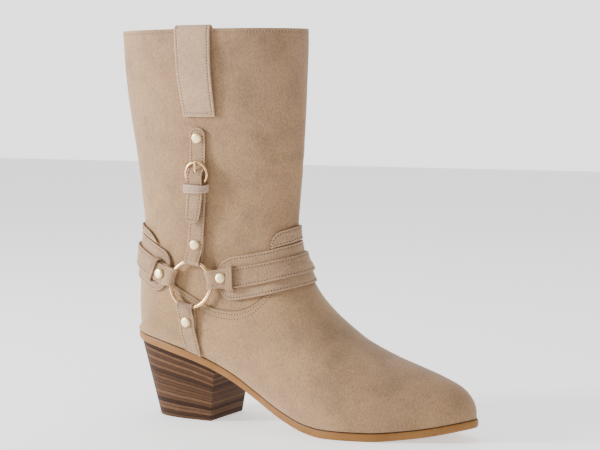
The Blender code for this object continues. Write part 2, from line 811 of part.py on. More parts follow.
def make_patch(name, line, patch, parts, material):
    """A patch that rises from the backing strap's upper edge and tapers to it at both ends."""
    marks = []
    for k in range(401):
        point = line.at(line.length * k / 400)[0]
        degrees = math.degrees(math.atan2(point.y, point.x - place(ANKLE_AXIS)))
        marks.append((degrees % 360 if degrees < -90 else degrees, line.length * k / 400))
    start, end = (min(marks, key=lambda m: abs(m[0] - goal))[1] for goal in patch["span"])
    taper = PATCH_WIDTH * patch["taper"]
    low = BACKING_WIDTH / 2 + 2 * LAY_GAP
    steps = round((end - start) / PATCH_STEP)
    rows = []
    for k in range(steps + 1):
        s = start + (end - start) * k / steps
        risen = min((s - start) / taper, (end - s) / taper, 1.0)
        risen = max(math.sin(math.pi / 2 * risen) ** patch["ease"], PATCH_END)
        wide = PATCH_WIDTH * patch["width"] * risen
        rows.append(line.row(s, laid(wide / 2, PATCH_LIFT, 3, low + wide / 2)))
    return sheet(name, rows, PATCH_THICKNESS, parts, material)


def make_keeper(name, line, distance, length, marks, parts, material):
    """A staple of leather over straps: the same marks across at a few rows along the line."""
    rows = []
    for k in (-1, 0, 1):
        rows.append(line.row(distance + k * length / 2, marks))
    return sheet(name, rows, KEEPER_THICKNESS, parts, material)


def staple(half, low, high, shift=0.0):
    """Marks of a keeper's cross-section: up one leg, over and down the other."""
    corner = KEEPER_THICKNESS
    side = [(-half, low), (-half, high - corner), (-half + corner, high)]
    marks = side + [(0.0, high)] + [(-w, lift) for w, lift in side[::-1]]
    return [(shift + w, lift) for w, lift in marks]


class BuckleSeat:
    """The buckle's place on the upright strap, in shares of its radius."""

    def __init__(self, line):
        self.point, self.up, self.out = line.at(BUCKLE_PLACE * line.length)
        self.across = self.out.cross(self.up).normalized()
        self.distance = BUCKLE_PLACE * line.length

    def spot(self, up, lift, across=0.0):
        move = self.up * up + self.out * lift + self.across * across
        return self.point + move * BUCKLE_RADIUS

    def row(self, up, lift, half, shift=0.0):
        return [self.spot(up, lift, shift + w) for w in (-half, 0.0, half)]


def make_lower_buckle_strap(line, ring, buckle, parts, material):
    """Doubled round the ring at its foot and round the buckle's bar at its top."""
    half = BUCKLE_STRAP_WIDTH / 2
    share = half / BUCKLE_RADIUS
    clear = RING_RADIUS + RING_WIRE * SMALL_LOOP["leave"]
    rise = RING_RADIUS + RING_WIRE * SMALL_LOOP["meet"]
    below = buckle.distance - BUCKLE_RADIUS * BUCKLE_RUN["below"]
    back_end = buckle.distance - BUCKLE_RADIUS * BUCKLE_RUN["back end"]
    rows = laid_rows(line, even_stations(UPRIGHT_BACK_END * RING_RADIUS, clear, half), FIRST_LIFT)
    rows += ring.loop("top", line.at(RING_RADIUS)[1], half)
    rows += laid_rows(line, even_stations(rise, below, half), SECOND_LIFT)
    neck = share * STRAP_NECK
    rows += [buckle.row(up, lift, neck) for up, lift in LOWER_AT_BUCKLE]
    bar = buckle.spot(-BAR_DROP / BUCKLE_RADIUS, BUCKLE_LIFT)
    radius = BAR_WIRE / 2 + FOLD_GAP + STRAP_THICKNESS / 2
    turned = fold(bar, buckle.up, buckle.out, buckle.across, radius, neck * BUCKLE_RADIUS)
    rows += turned[::-1]
    rows += [buckle.row(up, lift, neck) for up, lift in LOWER_BEHIND_BUCKLE]
    rows += laid_rows(line, even_stations(below, back_end, half), FIRST_LIFT)
    return sheet("lower_buckle_strap", rows, STRAP_THICKNESS, parts, material)


def make_upper_buckle_strap(line, buckle, parts, material):
    """Riveted at its top, through the buckle over the bar, with a free tail below."""
    half = BUCKLE_STRAP_WIDTH / 2
    share = half / BUCKLE_RADIUS
    top = STRAP_TOP * line.length
    lie = buckle.distance + BUCKLE_RADIUS * BUCKLE_RUN["lie"]
    rows = laid_rows(line, rounded_stations(lie, top, half, 0.0, half * 0.9)[::-1], FIRST_LIFT)
    rows.append(buckle.row(BUCKLE_RUN["above"], UPPER_AT_BUCKLE[0][1], share))
    rows += [buckle.row(up, lift, share) for up, lift in UPPER_AT_BUCKLE]
    rows += [buckle.row(up, lift, reach, shift) for up, lift, shift, reach in TAIL]
    return sheet("upper_buckle_strap", rows, STRAP_THICKNESS, parts, material)


def make_bottom_strap(line, seat, parts, material):
    """Doubled round the ring's lower wire and down to the sole."""
    half = BOTTOM_STRAP_WIDTH / 2
    clear = RING_RADIUS + RING_WIRE * SMALL_LOOP["leave"]
    rise = RING_RADIUS + RING_WIRE * SMALL_LOOP["meet"]
    back_end = BOTTOM_BACK_END * RING_RADIUS
    lie_down = BOTTOM_LIE_DOWN * line.length
    rows = laid_rows(line, even_stations(back_end, clear, half), FIRST_LIFT)
    rows += seat.loop("bottom", line.at(RING_RADIUS)[1], half)
    rows += laid_rows(line, even_stations(rise, back_end + STRAP_THICKNESS, half), SECOND_LIFT)
    rows += laid_rows(line, even_stations(lie_down, BOTTOM_END * line.length, half), FIRST_LIFT)
    return sheet("bottom_strap", rows, STRAP_THICKNESS, parts, material)


def make_pull_strap(form, parts, material):
    """Sewn on the outer side, standing off up to the collar, over it and down inside."""
    half = PULL_WIDTH / 2
    rows = []
    steps = 9
    low = level(PULL_BOTTOM[1])
    high = BOOT_HEIGHT - GAP * 2
    outside = PULL_THICKNESS / 2 + LAY_GAP * 1.4

    def across(height):
        u = (height - low) / (high - low)
        middle = place(PULL_BOTTOM[0] + (PULL_TOP[0] - PULL_BOTTOM[0]) * u)
        wide = half * (PULL_TAPER + (1 - PULL_TAPER) * u)
        xs = [middle - wide + 2 * wide * j / 4 for j in range(5)]
        return [cast(form, Vector((x, -FOOT_LENGTH, height)), Vector((0, 1, 0))) for x in xs]

    for k in range(steps + 1):
        u = k / steps
        lift = outside + PULL_BULGE * math.sin(math.pi * u) ** 1.5
        rows.append([p + n * lift for p, n in across(low + (high - low) * u)])
    rim = across(high)
    radius = SHAFT_WALL / 2 + outside
    for k in range(1, 6):
        turn = math.pi * k / 6
        row = []
        for p, n in rim:
            flat = Vector((n.x, n.y, 0)).normalized()
            middle = p - flat * SHAFT_WALL / 2 + Vector((0, 0, LAY_GAP))
            row.append(middle + (flat * math.cos(turn) + Vector((0, 0, math.sin(turn)))) * radius)
        rows.append(row)
    for k in range(5):
        height = high - PULL_INSIDE * k / 4
        rows.append([p - n * (SHAFT_WALL + outside) for p, n in across(height)])
    return sheet("pull_strap", rows, PULL_THICKNESS, parts, material)


def facing(point, out, up):
    """A placement whose Z is out and whose Y is nearest to up."""
    side = up.cross(out).normalized()
    return Matrix.Translation(point) @ Matrix((side, out.cross(side), out)).transposed().to_4x4()


def make_ring(name, point, out, up, radius, wire, steps, collection, material):
    bpy.ops.mesh.primitive_torus_add(
        major_radius=radius,
        minor_radius=wire / 2,
        major_segments=steps,
        minor_segments=8,
    )
    ring = bpy.context.object
    ring.name = name
    ring.data.materials.append(material)
    ring.data.transform(facing(point, out, up))
    ring.data.shade_smooth()
    for other in list(ring.users_collection):
        other.objects.unlink(ring)
    collection.objects.link(ring)
    return ring


def rod(name, start, end, thickness, collection, material=None, steps=10):
    """A straight round bar between two points."""
    way = end - start
    bm = bmesh.new()
    bmesh.ops.create_cone(
        bm,
        cap_ends=True,
        segments=steps,
        radius1=thickness / 2,
        radius2=thickness / 2,
        depth=way.length,
    )
    turn = way.to_track_quat("Z", "Y").to_matrix().to_4x4()
    bmesh.ops.transform(bm, matrix=Matrix.Translation((start + end) / 2) @ turn, verts=bm.verts)
    return new_object(name, bm, collection, material)


def make_rivet(name, point, out, parts, material):
    """A low dome: its profile turned about the rivet's axis."""
    bm = bmesh.new()
    steps = 5
    profile = []
    for k in range(steps + 1):
        turn = math.pi / 2 * k / steps
        profile.append((RIVET_RADIUS * math.sin(turn), RIVET_RISE * math.cos(turn)))
    profile[-1] = (RIVET_RADIUS, RIVET_RISE * 0.25)
    profile += [(RIVET_RADIUS, 0.0), (0.0, 0.0)]
    verts = [bm.verts.new((x, 0.0, z)) for x, z in profile[::-1]]
    for a, b in zip(verts, verts[1:]):
        bm.edges.new((a, b))
    rivet = new_object(name, bm, parts, material)
    turned = rivet.modifiers.new("turn", "SCREW")
    turned.axis = "Z"
    turned.steps = 16
    turned.render_steps = 16
    turned.use_merge_vertices = True
    turned.merge_threshold = 0.0001
    turned.use_normal_calculate = True
    turned.use_smooth_shade = True
    rivet.matrix_world = facing(point, out, Vector((0, 0, 1)))
    return rivet


def rivet_on(name, line, distance, lift, parts, material):
    point, _, out = line.at(distance)
    return make_rivet(name, point + out * lift, out, parts, material)


def make_buckle(buckle, parts, cutters, metal, straps):
    """A round frame with a middle bar, and the prong that lies on its upper rim."""
    centre = buckle.spot(0.0, BUCKLE_LIFT)
    args = (centre, buckle.out, buckle.up, BUCKLE_RADIUS, BUCKLE_WIRE, 28)
    frame = make_ring("buckle", *args, parts, metal)
    bar = buckle.spot(-BAR_DROP / BUCKLE_RADIUS, BUCKLE_LIFT)
    reach = buckle.across * math.sqrt(BUCKLE_RADIUS**2 - BAR_DROP**2)
    middle_bar = rod("buckle_bar", bar - reach, bar + reach, BAR_WIRE, cutters)
    combine(frame, middle_bar, "UNION")
    over_bar = (BAR_WIRE + PRONG_WIRE) / 2 + GAP
    over_rim = (BUCKLE_WIRE + PRONG_WIRE) / 2 + GAP
    start = bar + buckle.out * over_bar
    end = centre + buckle.out * over_rim + buckle.up * (BUCKLE_RADIUS + BUCKLE_WIRE * 0.4)
    rod("prong", start, end, PRONG_WIRE, parts, metal)
    behind = start - (end - start) * 0.12
    clearance = rod("prong_clearance", behind, end, PRONG_WIRE + 2 * GAP, cutters, steps=8)
    for strap in straps:
        combine(strap, clearance, "DIFFERENCE")


def main():
    for obj in list(bpy.data.objects):
        bpy.data.objects.remove(obj)
    parts = bpy.data.collections.new("harness_boot")
    cutters = bpy.data.collections.new("cutters")
    for collection in (parts, cutters):
        bpy.context.scene.collection.children.link(collection)
    suede = new_material("suede", SUEDE, 0.9)
    pale = new_material("suede_pale", SUEDE_PALE, 0.9)
    metal = new_material("pale_gold", PALE_GOLD, 0.25, 1.0)
    upper = make_upper(parts, cutters, suede)
    make_outsole(parts, new_material("sole_tan", SOLE_TAN, 0.5))
    make_heel(parts, new_material("heel_brown", HEEL_BROWN, 0.5))
    make_insole(parts, new_material("lining", LINING, 0.8))

    form = laying_form(upper)
    harness = Line(form, round_ankle, HARNESS_LINE)
    upright = Line(form, on_side, UPRIGHT_LINE)
    bottom = Line(form, on_side, BOTTOM_LINE)
    seat = RingSeat(harness, upright, bottom)
    buckle = BuckleSeat(upright)

    make_ring("ring", seat.centre, seat.out, seat.ways["top"], RING_RADIUS, RING_WIRE, 36,
              parts, metal)
    make_backing_strap(harness, parts, suede)
    make_patch("front_patch", harness, FRONT_PATCH, parts, suede)
    make_patch("rear_patch", harness, REAR_PATCH, parts, suede)
    make_harness_strap(harness, seat, parts, suede)
    make_bottom_strap(bottom, seat, parts, suede)
    lower = make_lower_buckle_strap(upright, seat, buckle, parts, suede)
    upper_strap = make_upper_buckle_strap(upright, buckle, parts, suede)
    make_buckle(buckle, parts, cutters, metal, (lower, upper_strap))
    make_pull_strap(form, parts, suede)

    play = LAY_GAP + KEEPER_THICKNESS / 2
    above = OUTER_LIFT + STRAP_THICKNESS / 2 + play
    low = BACKING_LIFT + STRAP_THICKNESS / 2 + LAY_GAP
    marks = staple(HARNESS_WIDTH / 2 + play, low, above)
    front = HARNESS_PLACES["front"]["keeper"] * RING_RADIUS
    rear = harness.length - HARNESS_PLACES["rear"]["keeper"] * RING_RADIUS
    make_keeper("front_keeper", harness, front, KEEPER_LENGTH, marks, parts, suede)
    make_keeper("rear_keeper", harness, rear, KEEPER_LENGTH, marks, parts, suede)
    over_tail = TAIL[0][1] * BUCKLE_RADIUS + STRAP_THICKNESS / 2 + 2 * play
    marks = staple(BUCKLE_STRAP_WIDTH / 2 + play, LAY_GAP, over_tail)
    beside = buckle.distance + BUCKLE_KEEPER_PLACE * BUCKLE_RADIUS
    make_keeper("buckle_keeper", upright, beside, BUCKLE_KEEPER_LENGTH, marks, parts, pale)

    single = FIRST_LIFT + STRAP_THICKNESS / 2 + LAY_GAP
    double = SECOND_LIFT + STRAP_THICKNESS / 2 + LAY_GAP
    triple = OUTER_LIFT + STRAP_THICKNESS / 2 + 2 * LAY_GAP
    front = HARNESS_PLACES["front"]["rivet"] * RING_RADIUS
    rear = harness.length - HARNESS_PLACES["rear"]["rivet"] * RING_RADIUS
    rivet_on("front_rivet", harness, front, triple, parts, metal)
    rivet_on("rear_rivet", harness, rear, triple, parts, metal)
    rivet_on("bottom_rivet", bottom, BOTTOM_RIVET * RING_RADIUS, double, parts, metal)
    rivet_on("loop_rivet", upright, UPRIGHT_RIVET * RING_RADIUS, double, parts, metal)
    rivet_on("top_rivet", upright, TOP_RIVET * upright.length, single, parts, metal)


main()
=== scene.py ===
"""Looks of the right harness boot: suede, stitches, painted sole edge, stacked heel and metal.

Every dressed piece repeats the solid that it replaces from the same named sizes, with finer faces.
Metres, +Z up, toe along +X, outer side facing -Y.
"""

import json
import math

import bmesh
import bpy
import numpy as np
from mathutils import Matrix, Vector, noise
from mathutils.bvhtree import BVHTree
from mathutils.kdtree import KDTree

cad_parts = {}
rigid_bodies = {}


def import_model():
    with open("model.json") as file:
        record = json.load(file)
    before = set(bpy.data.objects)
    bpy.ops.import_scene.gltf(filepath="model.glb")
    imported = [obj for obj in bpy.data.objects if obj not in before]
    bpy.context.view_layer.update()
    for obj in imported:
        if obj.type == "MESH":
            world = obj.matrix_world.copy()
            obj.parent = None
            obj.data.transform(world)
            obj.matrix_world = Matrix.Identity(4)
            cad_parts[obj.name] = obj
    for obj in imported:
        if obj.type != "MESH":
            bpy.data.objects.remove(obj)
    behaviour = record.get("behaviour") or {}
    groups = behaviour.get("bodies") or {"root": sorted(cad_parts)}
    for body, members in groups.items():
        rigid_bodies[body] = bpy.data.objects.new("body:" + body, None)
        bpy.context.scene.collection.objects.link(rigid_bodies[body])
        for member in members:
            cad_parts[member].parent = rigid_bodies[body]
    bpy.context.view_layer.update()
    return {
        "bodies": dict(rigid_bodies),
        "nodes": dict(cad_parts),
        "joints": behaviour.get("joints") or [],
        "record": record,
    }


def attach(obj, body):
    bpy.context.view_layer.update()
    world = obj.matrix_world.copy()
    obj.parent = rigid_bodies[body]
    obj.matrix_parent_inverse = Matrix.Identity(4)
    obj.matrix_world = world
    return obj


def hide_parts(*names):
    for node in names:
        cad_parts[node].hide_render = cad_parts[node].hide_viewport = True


# The last: the sizes that the whole boot follows
FOOT_LENGTH = 0.268
BALL_WIDTH = 0.088
HEEL_HEIGHT = 0.056
INSTEP_HEIGHT = 0.150
BOOT_HEIGHT = 0.279
COLLAR_WIDTH = 0.078
TREAD_CENTRE = 0.179

# Upper
SHAFT_WALL = 0.0018
PANEL_STEP = 0.0010
UPPER_ROWS = 231
SIDE_FACES = 40
LOW_FACES = 14
FINE_FOOT_ROWS = 121
# Faces of the form that straps are laid on: rows, faces below and in all on a side
FORM_FACES = (281, 16, 52)
# The cutter that thins the shaft: rows fewer, its first table row, and how far past the collar
SKIN_ROWS_LESS = 30
SKIN_FIRST = 5.0
SKIN_PAST = 0.3
# The table's row from which the sections lean over at the back, how many rows to each side are
# evened out, and the height over the sole at which that begins, with how far it takes to rise
HEEL_TURN = 15.0
TURN_REACH = 3.0
TURN_LOW = 0.004
TURN_RISE = 0.015
# How far over the sole the bottom strap ends
OVER_SOLE = 0.0007

# Sole and heel
SOLE_THICKNESS = 0.006
SOLE_EDGE = 0.0012
SOLE_ROUND = 0.0007
HEEL_INSET = 0.0022
HEEL_BREAST = 0.302
TREAD_LENGTH = 0.054
TREAD_WIDTH = 0.048

# Clearance between touching pieces, and under a strap that is laid on a curved form
GAP = 0.0003
LAY_GAP = 0.0005

# Straps
STRAP_THICKNESS = 0.0015
PATCH_THICKNESS = 0.0012
KEEPER_THICKNESS = 0.0012
BACKING_WIDTH = 0.031
HARNESS_WIDTH = 0.0145
LOOP_WIDTH = 0.0130
BUCKLE_STRAP_WIDTH = 0.0120
BOTTOM_STRAP_WIDTH = 0.0130
PULL_WIDTH = 0.0285
PULL_THICKNESS = 0.0020
STATION_STEP = 0.0040
PATCH_STEP = 0.0011
LINE_STEPS = 8
ACROSS = 9
# How far outside the upper a strap's points are looked up from
CAST_FROM = 0.02

# Hardware
RING_RADIUS = 0.0163
RING_WIRE = 0.0027
FOLD_GAP = 0.00050
BUCKLE_RADIUS = 0.0082
BUCKLE_WIRE = 0.0020
BAR_DROP = 0.0020
BAR_WIRE = 0.0018
PRONG_WIRE = 0.0015
RIVET_RADIUS = 0.0037
RIVET_RISE = 0.0018
# Faces round a wire or bar
WIRE_FACES = 20
# The rivet's dome and the rim round it, in shares of its radius and rise
RIVET_DOME = 0.92
RIVET_RIM = ((0.97, 0.42), (1.00, 0.30), (1.00, 0.00))
# A stitch: places along it and how thick it is there, in shares of its length and width
STITCH_SHAPE = ((-0.5, 0.35), (-0.38, 0.85), (0.0, 1.0), (0.38, 0.85), (0.5, 0.35))

# Heights of the middle of the first, second and outer layer of strap over the upper
FIRST_LIFT = LAY_GAP + STRAP_THICKNESS / 2
SECOND_LIFT = FIRST_LIFT + STRAP_THICKNESS + GAP
# The harness and its backing bend more, and lie a little higher
BACKING_LIFT = FIRST_LIFT + LAY_GAP / 2
HARNESS_LIFT = BACKING_LIFT + STRAP_THICKNESS + LAY_GAP * 1.3
OUTER_LIFT = HARNESS_LIFT + STRAP_THICKNESS + GAP
PATCH_LIFT = LAY_GAP * 2 + PATCH_THICKNESS / 2
RING_LIFT = 0.0043

# The outsole's underside: share of the foot's length, height as a share of the heel's
SOLE_LINE = (
    (0.00, 1.000),
    (0.10, 0.930),
    (0.20, 0.830),
    (0.28, 0.720),
    (0.36, 0.560),
    (0.44, 0.350),
    (0.52, 0.160),
    (0.60, 0.035),
    (0.66, 0.000),
    (0.76, 0.000),
    (0.88, 0.050),
    (1.00, 0.160),
)

# Sections of the last from the toe tip to the collar. Each lies in a plane from a low point at
# the back of it to a high point on the ridge or the shaft's front.
# back: the low point along the foot       climb: its rise above the sole, share of what is left
# front: the high point along the foot     top: its level, 1 at the instep and 2 at the collar
# outer, inner: half widths as shares      tread: width at the low point as a share of the widest
# belly: where the section is widest       crown, skirt: how square it is above and below that
# swing: how far the section lies to the inner side, share of half the ball
SECTIONS = (
    (1.000, 0.000, 1.000, 0.115, 0.000, 0.000, 0.97, 0.30, 2.20, 2.4, 0.150),
    (0.990, 0.000, 0.989, 0.178, 0.170, 0.170, 0.96, 0.30, 2.20, 2.4, 0.148),
    (0.960, 0.000, 0.957, 0.235, 0.340, 0.340, 0.95, 0.30, 2.20, 2.4, 0.140),
    (0.910, 0.000, 0.903, 0.278, 0.520, 0.540, 0.94, 0.30, 2.10, 2.4, 0.115),
    (0.850, 0.000, 0.835, 0.320, 0.690, 0.730, 0.93, 0.30, 2.00, 2.4, 0.075),
    (0.780, 0.000, 0.758, 0.367, 0.850, 0.890, 0.92, 0.30, 1.95, 2.4, 0.035),
    (0.700, 0.000, 0.679, 0.433, 0.970, 0.970, 0.91, 0.30, 1.90, 2.3, 0.008),
    (0.610, 0.000, 0.613, 0.522, 0.980, 0.940, 0.88, 0.30, 1.85, 2.2, 0.000),
    (0.520, 0.000, 0.566, 0.606, 0.920, 0.860, 0.83, 0.30, 1.80, 2.2, 0.000),
    (0.430, 0.000, 0.538, 0.676, 0.860, 0.800, 0.78, 0.31, 1.80, 2.1, 0.000),
    (0.340, 0.000, 0.522, 0.740, 0.820, 0.770, 0.80, 0.32, 1.80, 2.1, 0.000),
    (0.250, 0.000, 0.510, 0.803, 0.790, 0.755, 0.86, 0.33, 1.80, 2.1, 0.000),
    (0.160, 0.000, 0.503, 0.872, 0.770, 0.745, 0.87, 0.34, 1.80, 2.1, 0.000),
    (0.080, 0.000, 0.500, 0.940, 0.755, 0.735, 0.74, 0.35, 1.80, 2.0, 0.000),
    (0.030, 0.000, 0.503, 1.003, 0.745, 0.725, 0.43, 0.36, 1.80, 2.0, 0.000),
    (0.015, 0.000, 0.505, 1.050, 0.740, 0.720, 0.00, 0.37, 1.80, 2.0, 0.000),
    (0.010, 0.045, 0.507, 1.100, 0.740, 0.720, 0.00, 0.38, 1.80, 2.0, 0.000),
    (0.008, 0.098, 0.510, 1.160, 0.748, 0.728, 0.00, 0.40, 1.80, 2.0, 0.000),
    (0.011, 0.165, 0.514, 1.240, 0.758, 0.738, 0.00, 0.41, 1.80, 2.0, 0.000),
    (0.018, 0.245, 0.517, 1.335, 0.780, 0.765, 0.00, 0.43, 1.80, 2.0, 0.000),
    (0.020, 0.340, 0.519, 1.445, 0.815, 0.805, 0.00, 0.45, 1.85, 2.0, 0.000),
    (0.011, 0.455, 0.521, 1.575, 0.855, 0.845, 0.00, 0.46, 1.90, 2.0, 0.000),
    (-.005, 0.590, 0.522, 1.708, 0.905, 0.895, 0.00, 0.47, 1.95, 2.0, 0.000),
    (-.026, 0.740, 0.523, 1.830, 0.955, 0.945, 0.00, 0.48, 2.00, 2.0, 0.000),
    (-.041, 0.880, 0.524, 1.925, 0.985, 0.975, 0.00, 0.49, 2.00, 2.0, 0.000),
    (-.047, 1.000, 0.524, 2.000, 1.000, 0.990, 0.00, 0.49, 2.00, 2.0, 0.000),
)
HEEL_ROW = 15
LEG_CLIMB = 0.30

# The foot panel's upper edge in side view: along the foot, level
PANEL_EDGE = (
    (-0.100, 0.860),
    (0.000, 0.830),
    (0.080, 0.765),
    (0.150, 0.690),
    (0.200, 0.641),
    (0.245, 0.603),
    (0.287, 0.568),
    (0.327, 0.549),
    (0.371, 0.544),
    (0.418, 0.564),
    (0.447, 0.603),
    (0.475, 0.660),
    (0.505, 0.715),
    (0.560, 0.760),
    (0.660, 0.780),
)

# The ankle's upright axis, along the foot, about which the harness is charted
ANKLE_AXIS = 0.254

# Middle line of the harness from the ring, forward round the ankle and back to the ring:
# degrees round the ankle axis, level
HARNESS_LINE = (
    (-93.0, 0.658),
    (-80.0, 0.669),
    (-66.0, 0.681),
    (-52.0, 0.691),
    (-42.0, 0.695),
    (-28.0, 0.712),
    (-18.0, 0.730),
    (-8.0, 0.752),
    (4.0, 0.766),
    (18.0, 0.756),
    (35.0, 0.738),
    (60.0, 0.722),
    (95.0, 0.722),
    (125.0, 0.738),
    (150.0, 0.765),
    (170.0, 0.785),
    (187.0, 0.784),
    (202.0, 0.760),
    (217.0, 0.726),
    (228.0, 0.703),
    (240.0, 0.687),
    (253.0, 0.673),
    (267.0, 0.658),
)
# Distances from the ring's centre along the harness line, shares of the ring's radius
# end: the backing strap's end   rivet: the rivet   keeper: the keeper's middle
HARNESS_PLACES = {
    "front": {"end": 1.266, "rivet": 1.546, "keeper": 1.940},
    "rear": {"end": 1.348, "rivet": 1.644, "keeper": 2.137},
}
# Where a strap leaves its layer for the ring, and where it meets it again beyond its loop,
# in shares of the wire outside the ring's radius
HARNESS_LOOP = {"leave": 1.6, "meet": 2.5}
SMALL_LOOP = {"leave": 1.7, "meet": 2.8}
# How far a loop's last row lies beyond its fold and down, in shares of the wire
LOOP_BEYOND = 0.8
LOOP_DOWN = 0.1
# How far the harness strap's doubled ends reach under the keepers, in shares of their length
UNDER_KEEPER = 0.3
# The backing strap's round corners, in shares of its width
BACKING_CORNER = 0.42
KEEPER_LENGTH = 0.0046
PATCH_WIDTH = 0.0100
# span: degrees round the ankle at which a patch begins and ends
# width: at its middle, share of the front patch's
# taper: how far along it takes to rise to that width, share of the front patch's
# ease: 0.5 rises round and steep, 1.5 slowly at first
FRONT_PATCH = {"span": (-17.0, 17.0), "width": 1.0, "taper": 1.1, "ease": 0.7}
REAR_PATCH = {"span": (143.0, 213.0), "width": 0.5, "taper": 1.6, "ease": 1.0}
PATCH_END = 0.06
# Places along the harness line at which its turn round the ankle is looked up
TURN_MARKS = 400

# The upright strap's middle line from the ring to its top: along the foot, level
UPRIGHT_LINE = (
    (0.2475, 0.658),
    (0.256, 0.847),
    (0.261, 0.989),
    (0.263, 1.097),
    (0.266, 1.216),
    (0.267, 1.330),
    (0.268, 1.470),
)
# Distances from the ring's centre to the rivet and the doubled end, shares of the ring's radius
UPRIGHT_RIVET = 1.750
UPRIGHT_BACK_END = 2.136
# Places on it, as shares of its length
BUCKLE_PLACE = 0.708
TOP_RIVET = 0.930
STRAP_TOP = 0.996
# How round its top is, in shares of its half width
TOP_ROUND = 0.9

# Rows of the two upright straps at the buckle, in shares of the buckle's radius:
# place up from the buckle's centre, height off the boot
LOWER_AT_BUCKLE = (
    (-0.732, 0.360),
    (-0.440, 0.754),
    (-0.354, 0.829),
)
LOWER_BEHIND_BUCKLE = (
    (-0.402, 0.335),
    (-0.585, 0.152),
    (-0.976, 0.140),
)
UPPER_AT_BUCKLE = (
    (0.524, 0.340),
    (0.317, 0.610),
    (0.159, 0.890),
    (-0.049, 1.055),
    (-0.244, 1.080),
    (-0.610, 1.030),
    (-1.000, 0.915),
)
BUCKLE_LIFT = 0.61
# Distances from the buckle's centre along the strap, shares of its radius
# below: the lower strap rises   back end: its doubled end   above, lie: the upper strap
# comes down to the frame from where it lies on the shaft
BUCKLE_RUN = {"below": 1.15, "back end": 2.575, "above": 1.25, "lie": 2.2}
STRAP_NECK = 0.70
BUCKLE_KEEPER_LENGTH = 0.0060
BUCKLE_KEEPER_PLACE = -1.25

# The free tail below the buckle, in shares of the buckle's radius: place, height off the boot,
# drift to the rear, half width
TAIL = (
    (-1.28, 0.885, 0.00, 0.73),
    (-1.80, 0.875, 0.02, 0.73),
    (-2.50, 0.870, 0.10, 0.72),
    (-3.20, 0.865, 0.19, 0.70),
    (-3.75, 0.860, 0.28, 0.67),
    (-4.05, 0.855, 0.33, 0.58),
    (-4.22, 0.855, 0.36, 0.36),
)

# The bottom strap's middle line from the ring to the sole: along the foot, level
BOTTOM_LINE = (
    (0.2475, 0.658),
    (0.236, 0.570),
    (0.237, 0.514),
    (0.240, 0.443),
    (0.246, 0.374),
    (0.250, 0.336),
)
# Distances from the ring's centre, shares of the ring's radius
BOTTOM_RIVET = 1.661
BOTTOM_BACK_END = 1.936
# Places on it, as shares of its length
BOTTOM_LIE_DOWN = 0.860
BOTTOM_END = 0.950

# Pull strap: top and bottom of its outer side, along the foot and level
PULL_TOP = (0.262, 2.0)
PULL_BOTTOM = (0.276, 1.525)
PULL_TAPER = 0.86
PULL_BULGE = 0.0022
PULL_INSIDE = 0.028
# Its rows outside, over the collar and inside, and its clearance in shares of a strap's
PULL_ROWS = (9, 5, 5)
PULL_CLEAR = 1.4

# Stitches: thread between pinholes, in rows at a distance from an edge
STITCH_PITCH = 0.0022
STITCH_LENGTH = 0.0016
STITCH_WIDTH = 0.00046
# How far a stitch's middle stands off the leather
STITCH_PROUD = STITCH_WIDTH * 0.12
HOLE_WIDTH = 0.00085
# Adjusting holes above the buckle: their width, and distances from its centre in its radius
STRAP_HOLE = 0.0018
STRAP_HOLES = (1.75,)
# A hole's dark disc of painted shade over the strap's face: its height and thickness
HOLE_PROUD = 0.0001
HOLE_DISC = 0.00012
EDGE_TO_STITCH = 0.0017
PULL_TO_STITCH = 0.0022
# Rows of a strap's finer faces, and points round its rim from which the edge's width is told
FINE_STEP = 0.0014
RIM_STEP = 0.0003
# Soft edge of a strap: share of its thickness, faces, and the least angle that counts as an edge
SOFT_SHARE = 0.28
SOFT_FACES = 3
SOFT_ANGLE = 55
# How far from a strap's end its own rows are kept, so that a round tip stays round
END_ZONE = 0.009

# Seams of the upper: the collar's row below the top, and rows below the foot panel's edge
COLLAR_ROW = 0.0026
PANEL_ROWS = (0.0022, 0.0056)
# Points looked up along a seam's row and a panel's row, and how far a panel's row stays from
# the ends of the panel's edge, as a share of it
SEAM_MARKS = 80
PANEL_MARKS = 120
PANEL_MARGIN = 0.02
# Lines of painted shade in the material: over the panel's edge (middle, half width) and beside the
# seams
PANEL_LINE = (0.0002, 0.0009)
SEAM_HALF = 0.0006
# How far in from a strap's edge its painted rim highlight and the trough of its stitches, with its
# painted shade, reach
EDGE_REACH = 0.004
# Folded straps are stitched along both edges: lengths left out at their first and last end
SEWN = {
    "harness_strap": (0.034, 0.037),
    "bottom_strap": (0.022, 0.001),
    "lower_buckle_strap": (0.026, 0.030),
}
# Degrees between a seam and the row beside it
SEAM_TO_ROW = 3.0
# The front seam's and the rear seam's turn round the shaft, in degrees
FRONT_SEAM = 7.0
REAR_SEAM = 180.0
# Rows beside the seams: the seam, its side, and the level of the row's lower end
SEAM_ROWS = ((FRONT_SEAM, -1, 1.02), (REAR_SEAM, 1, 1.06), (REAR_SEAM, -1, 1.06))

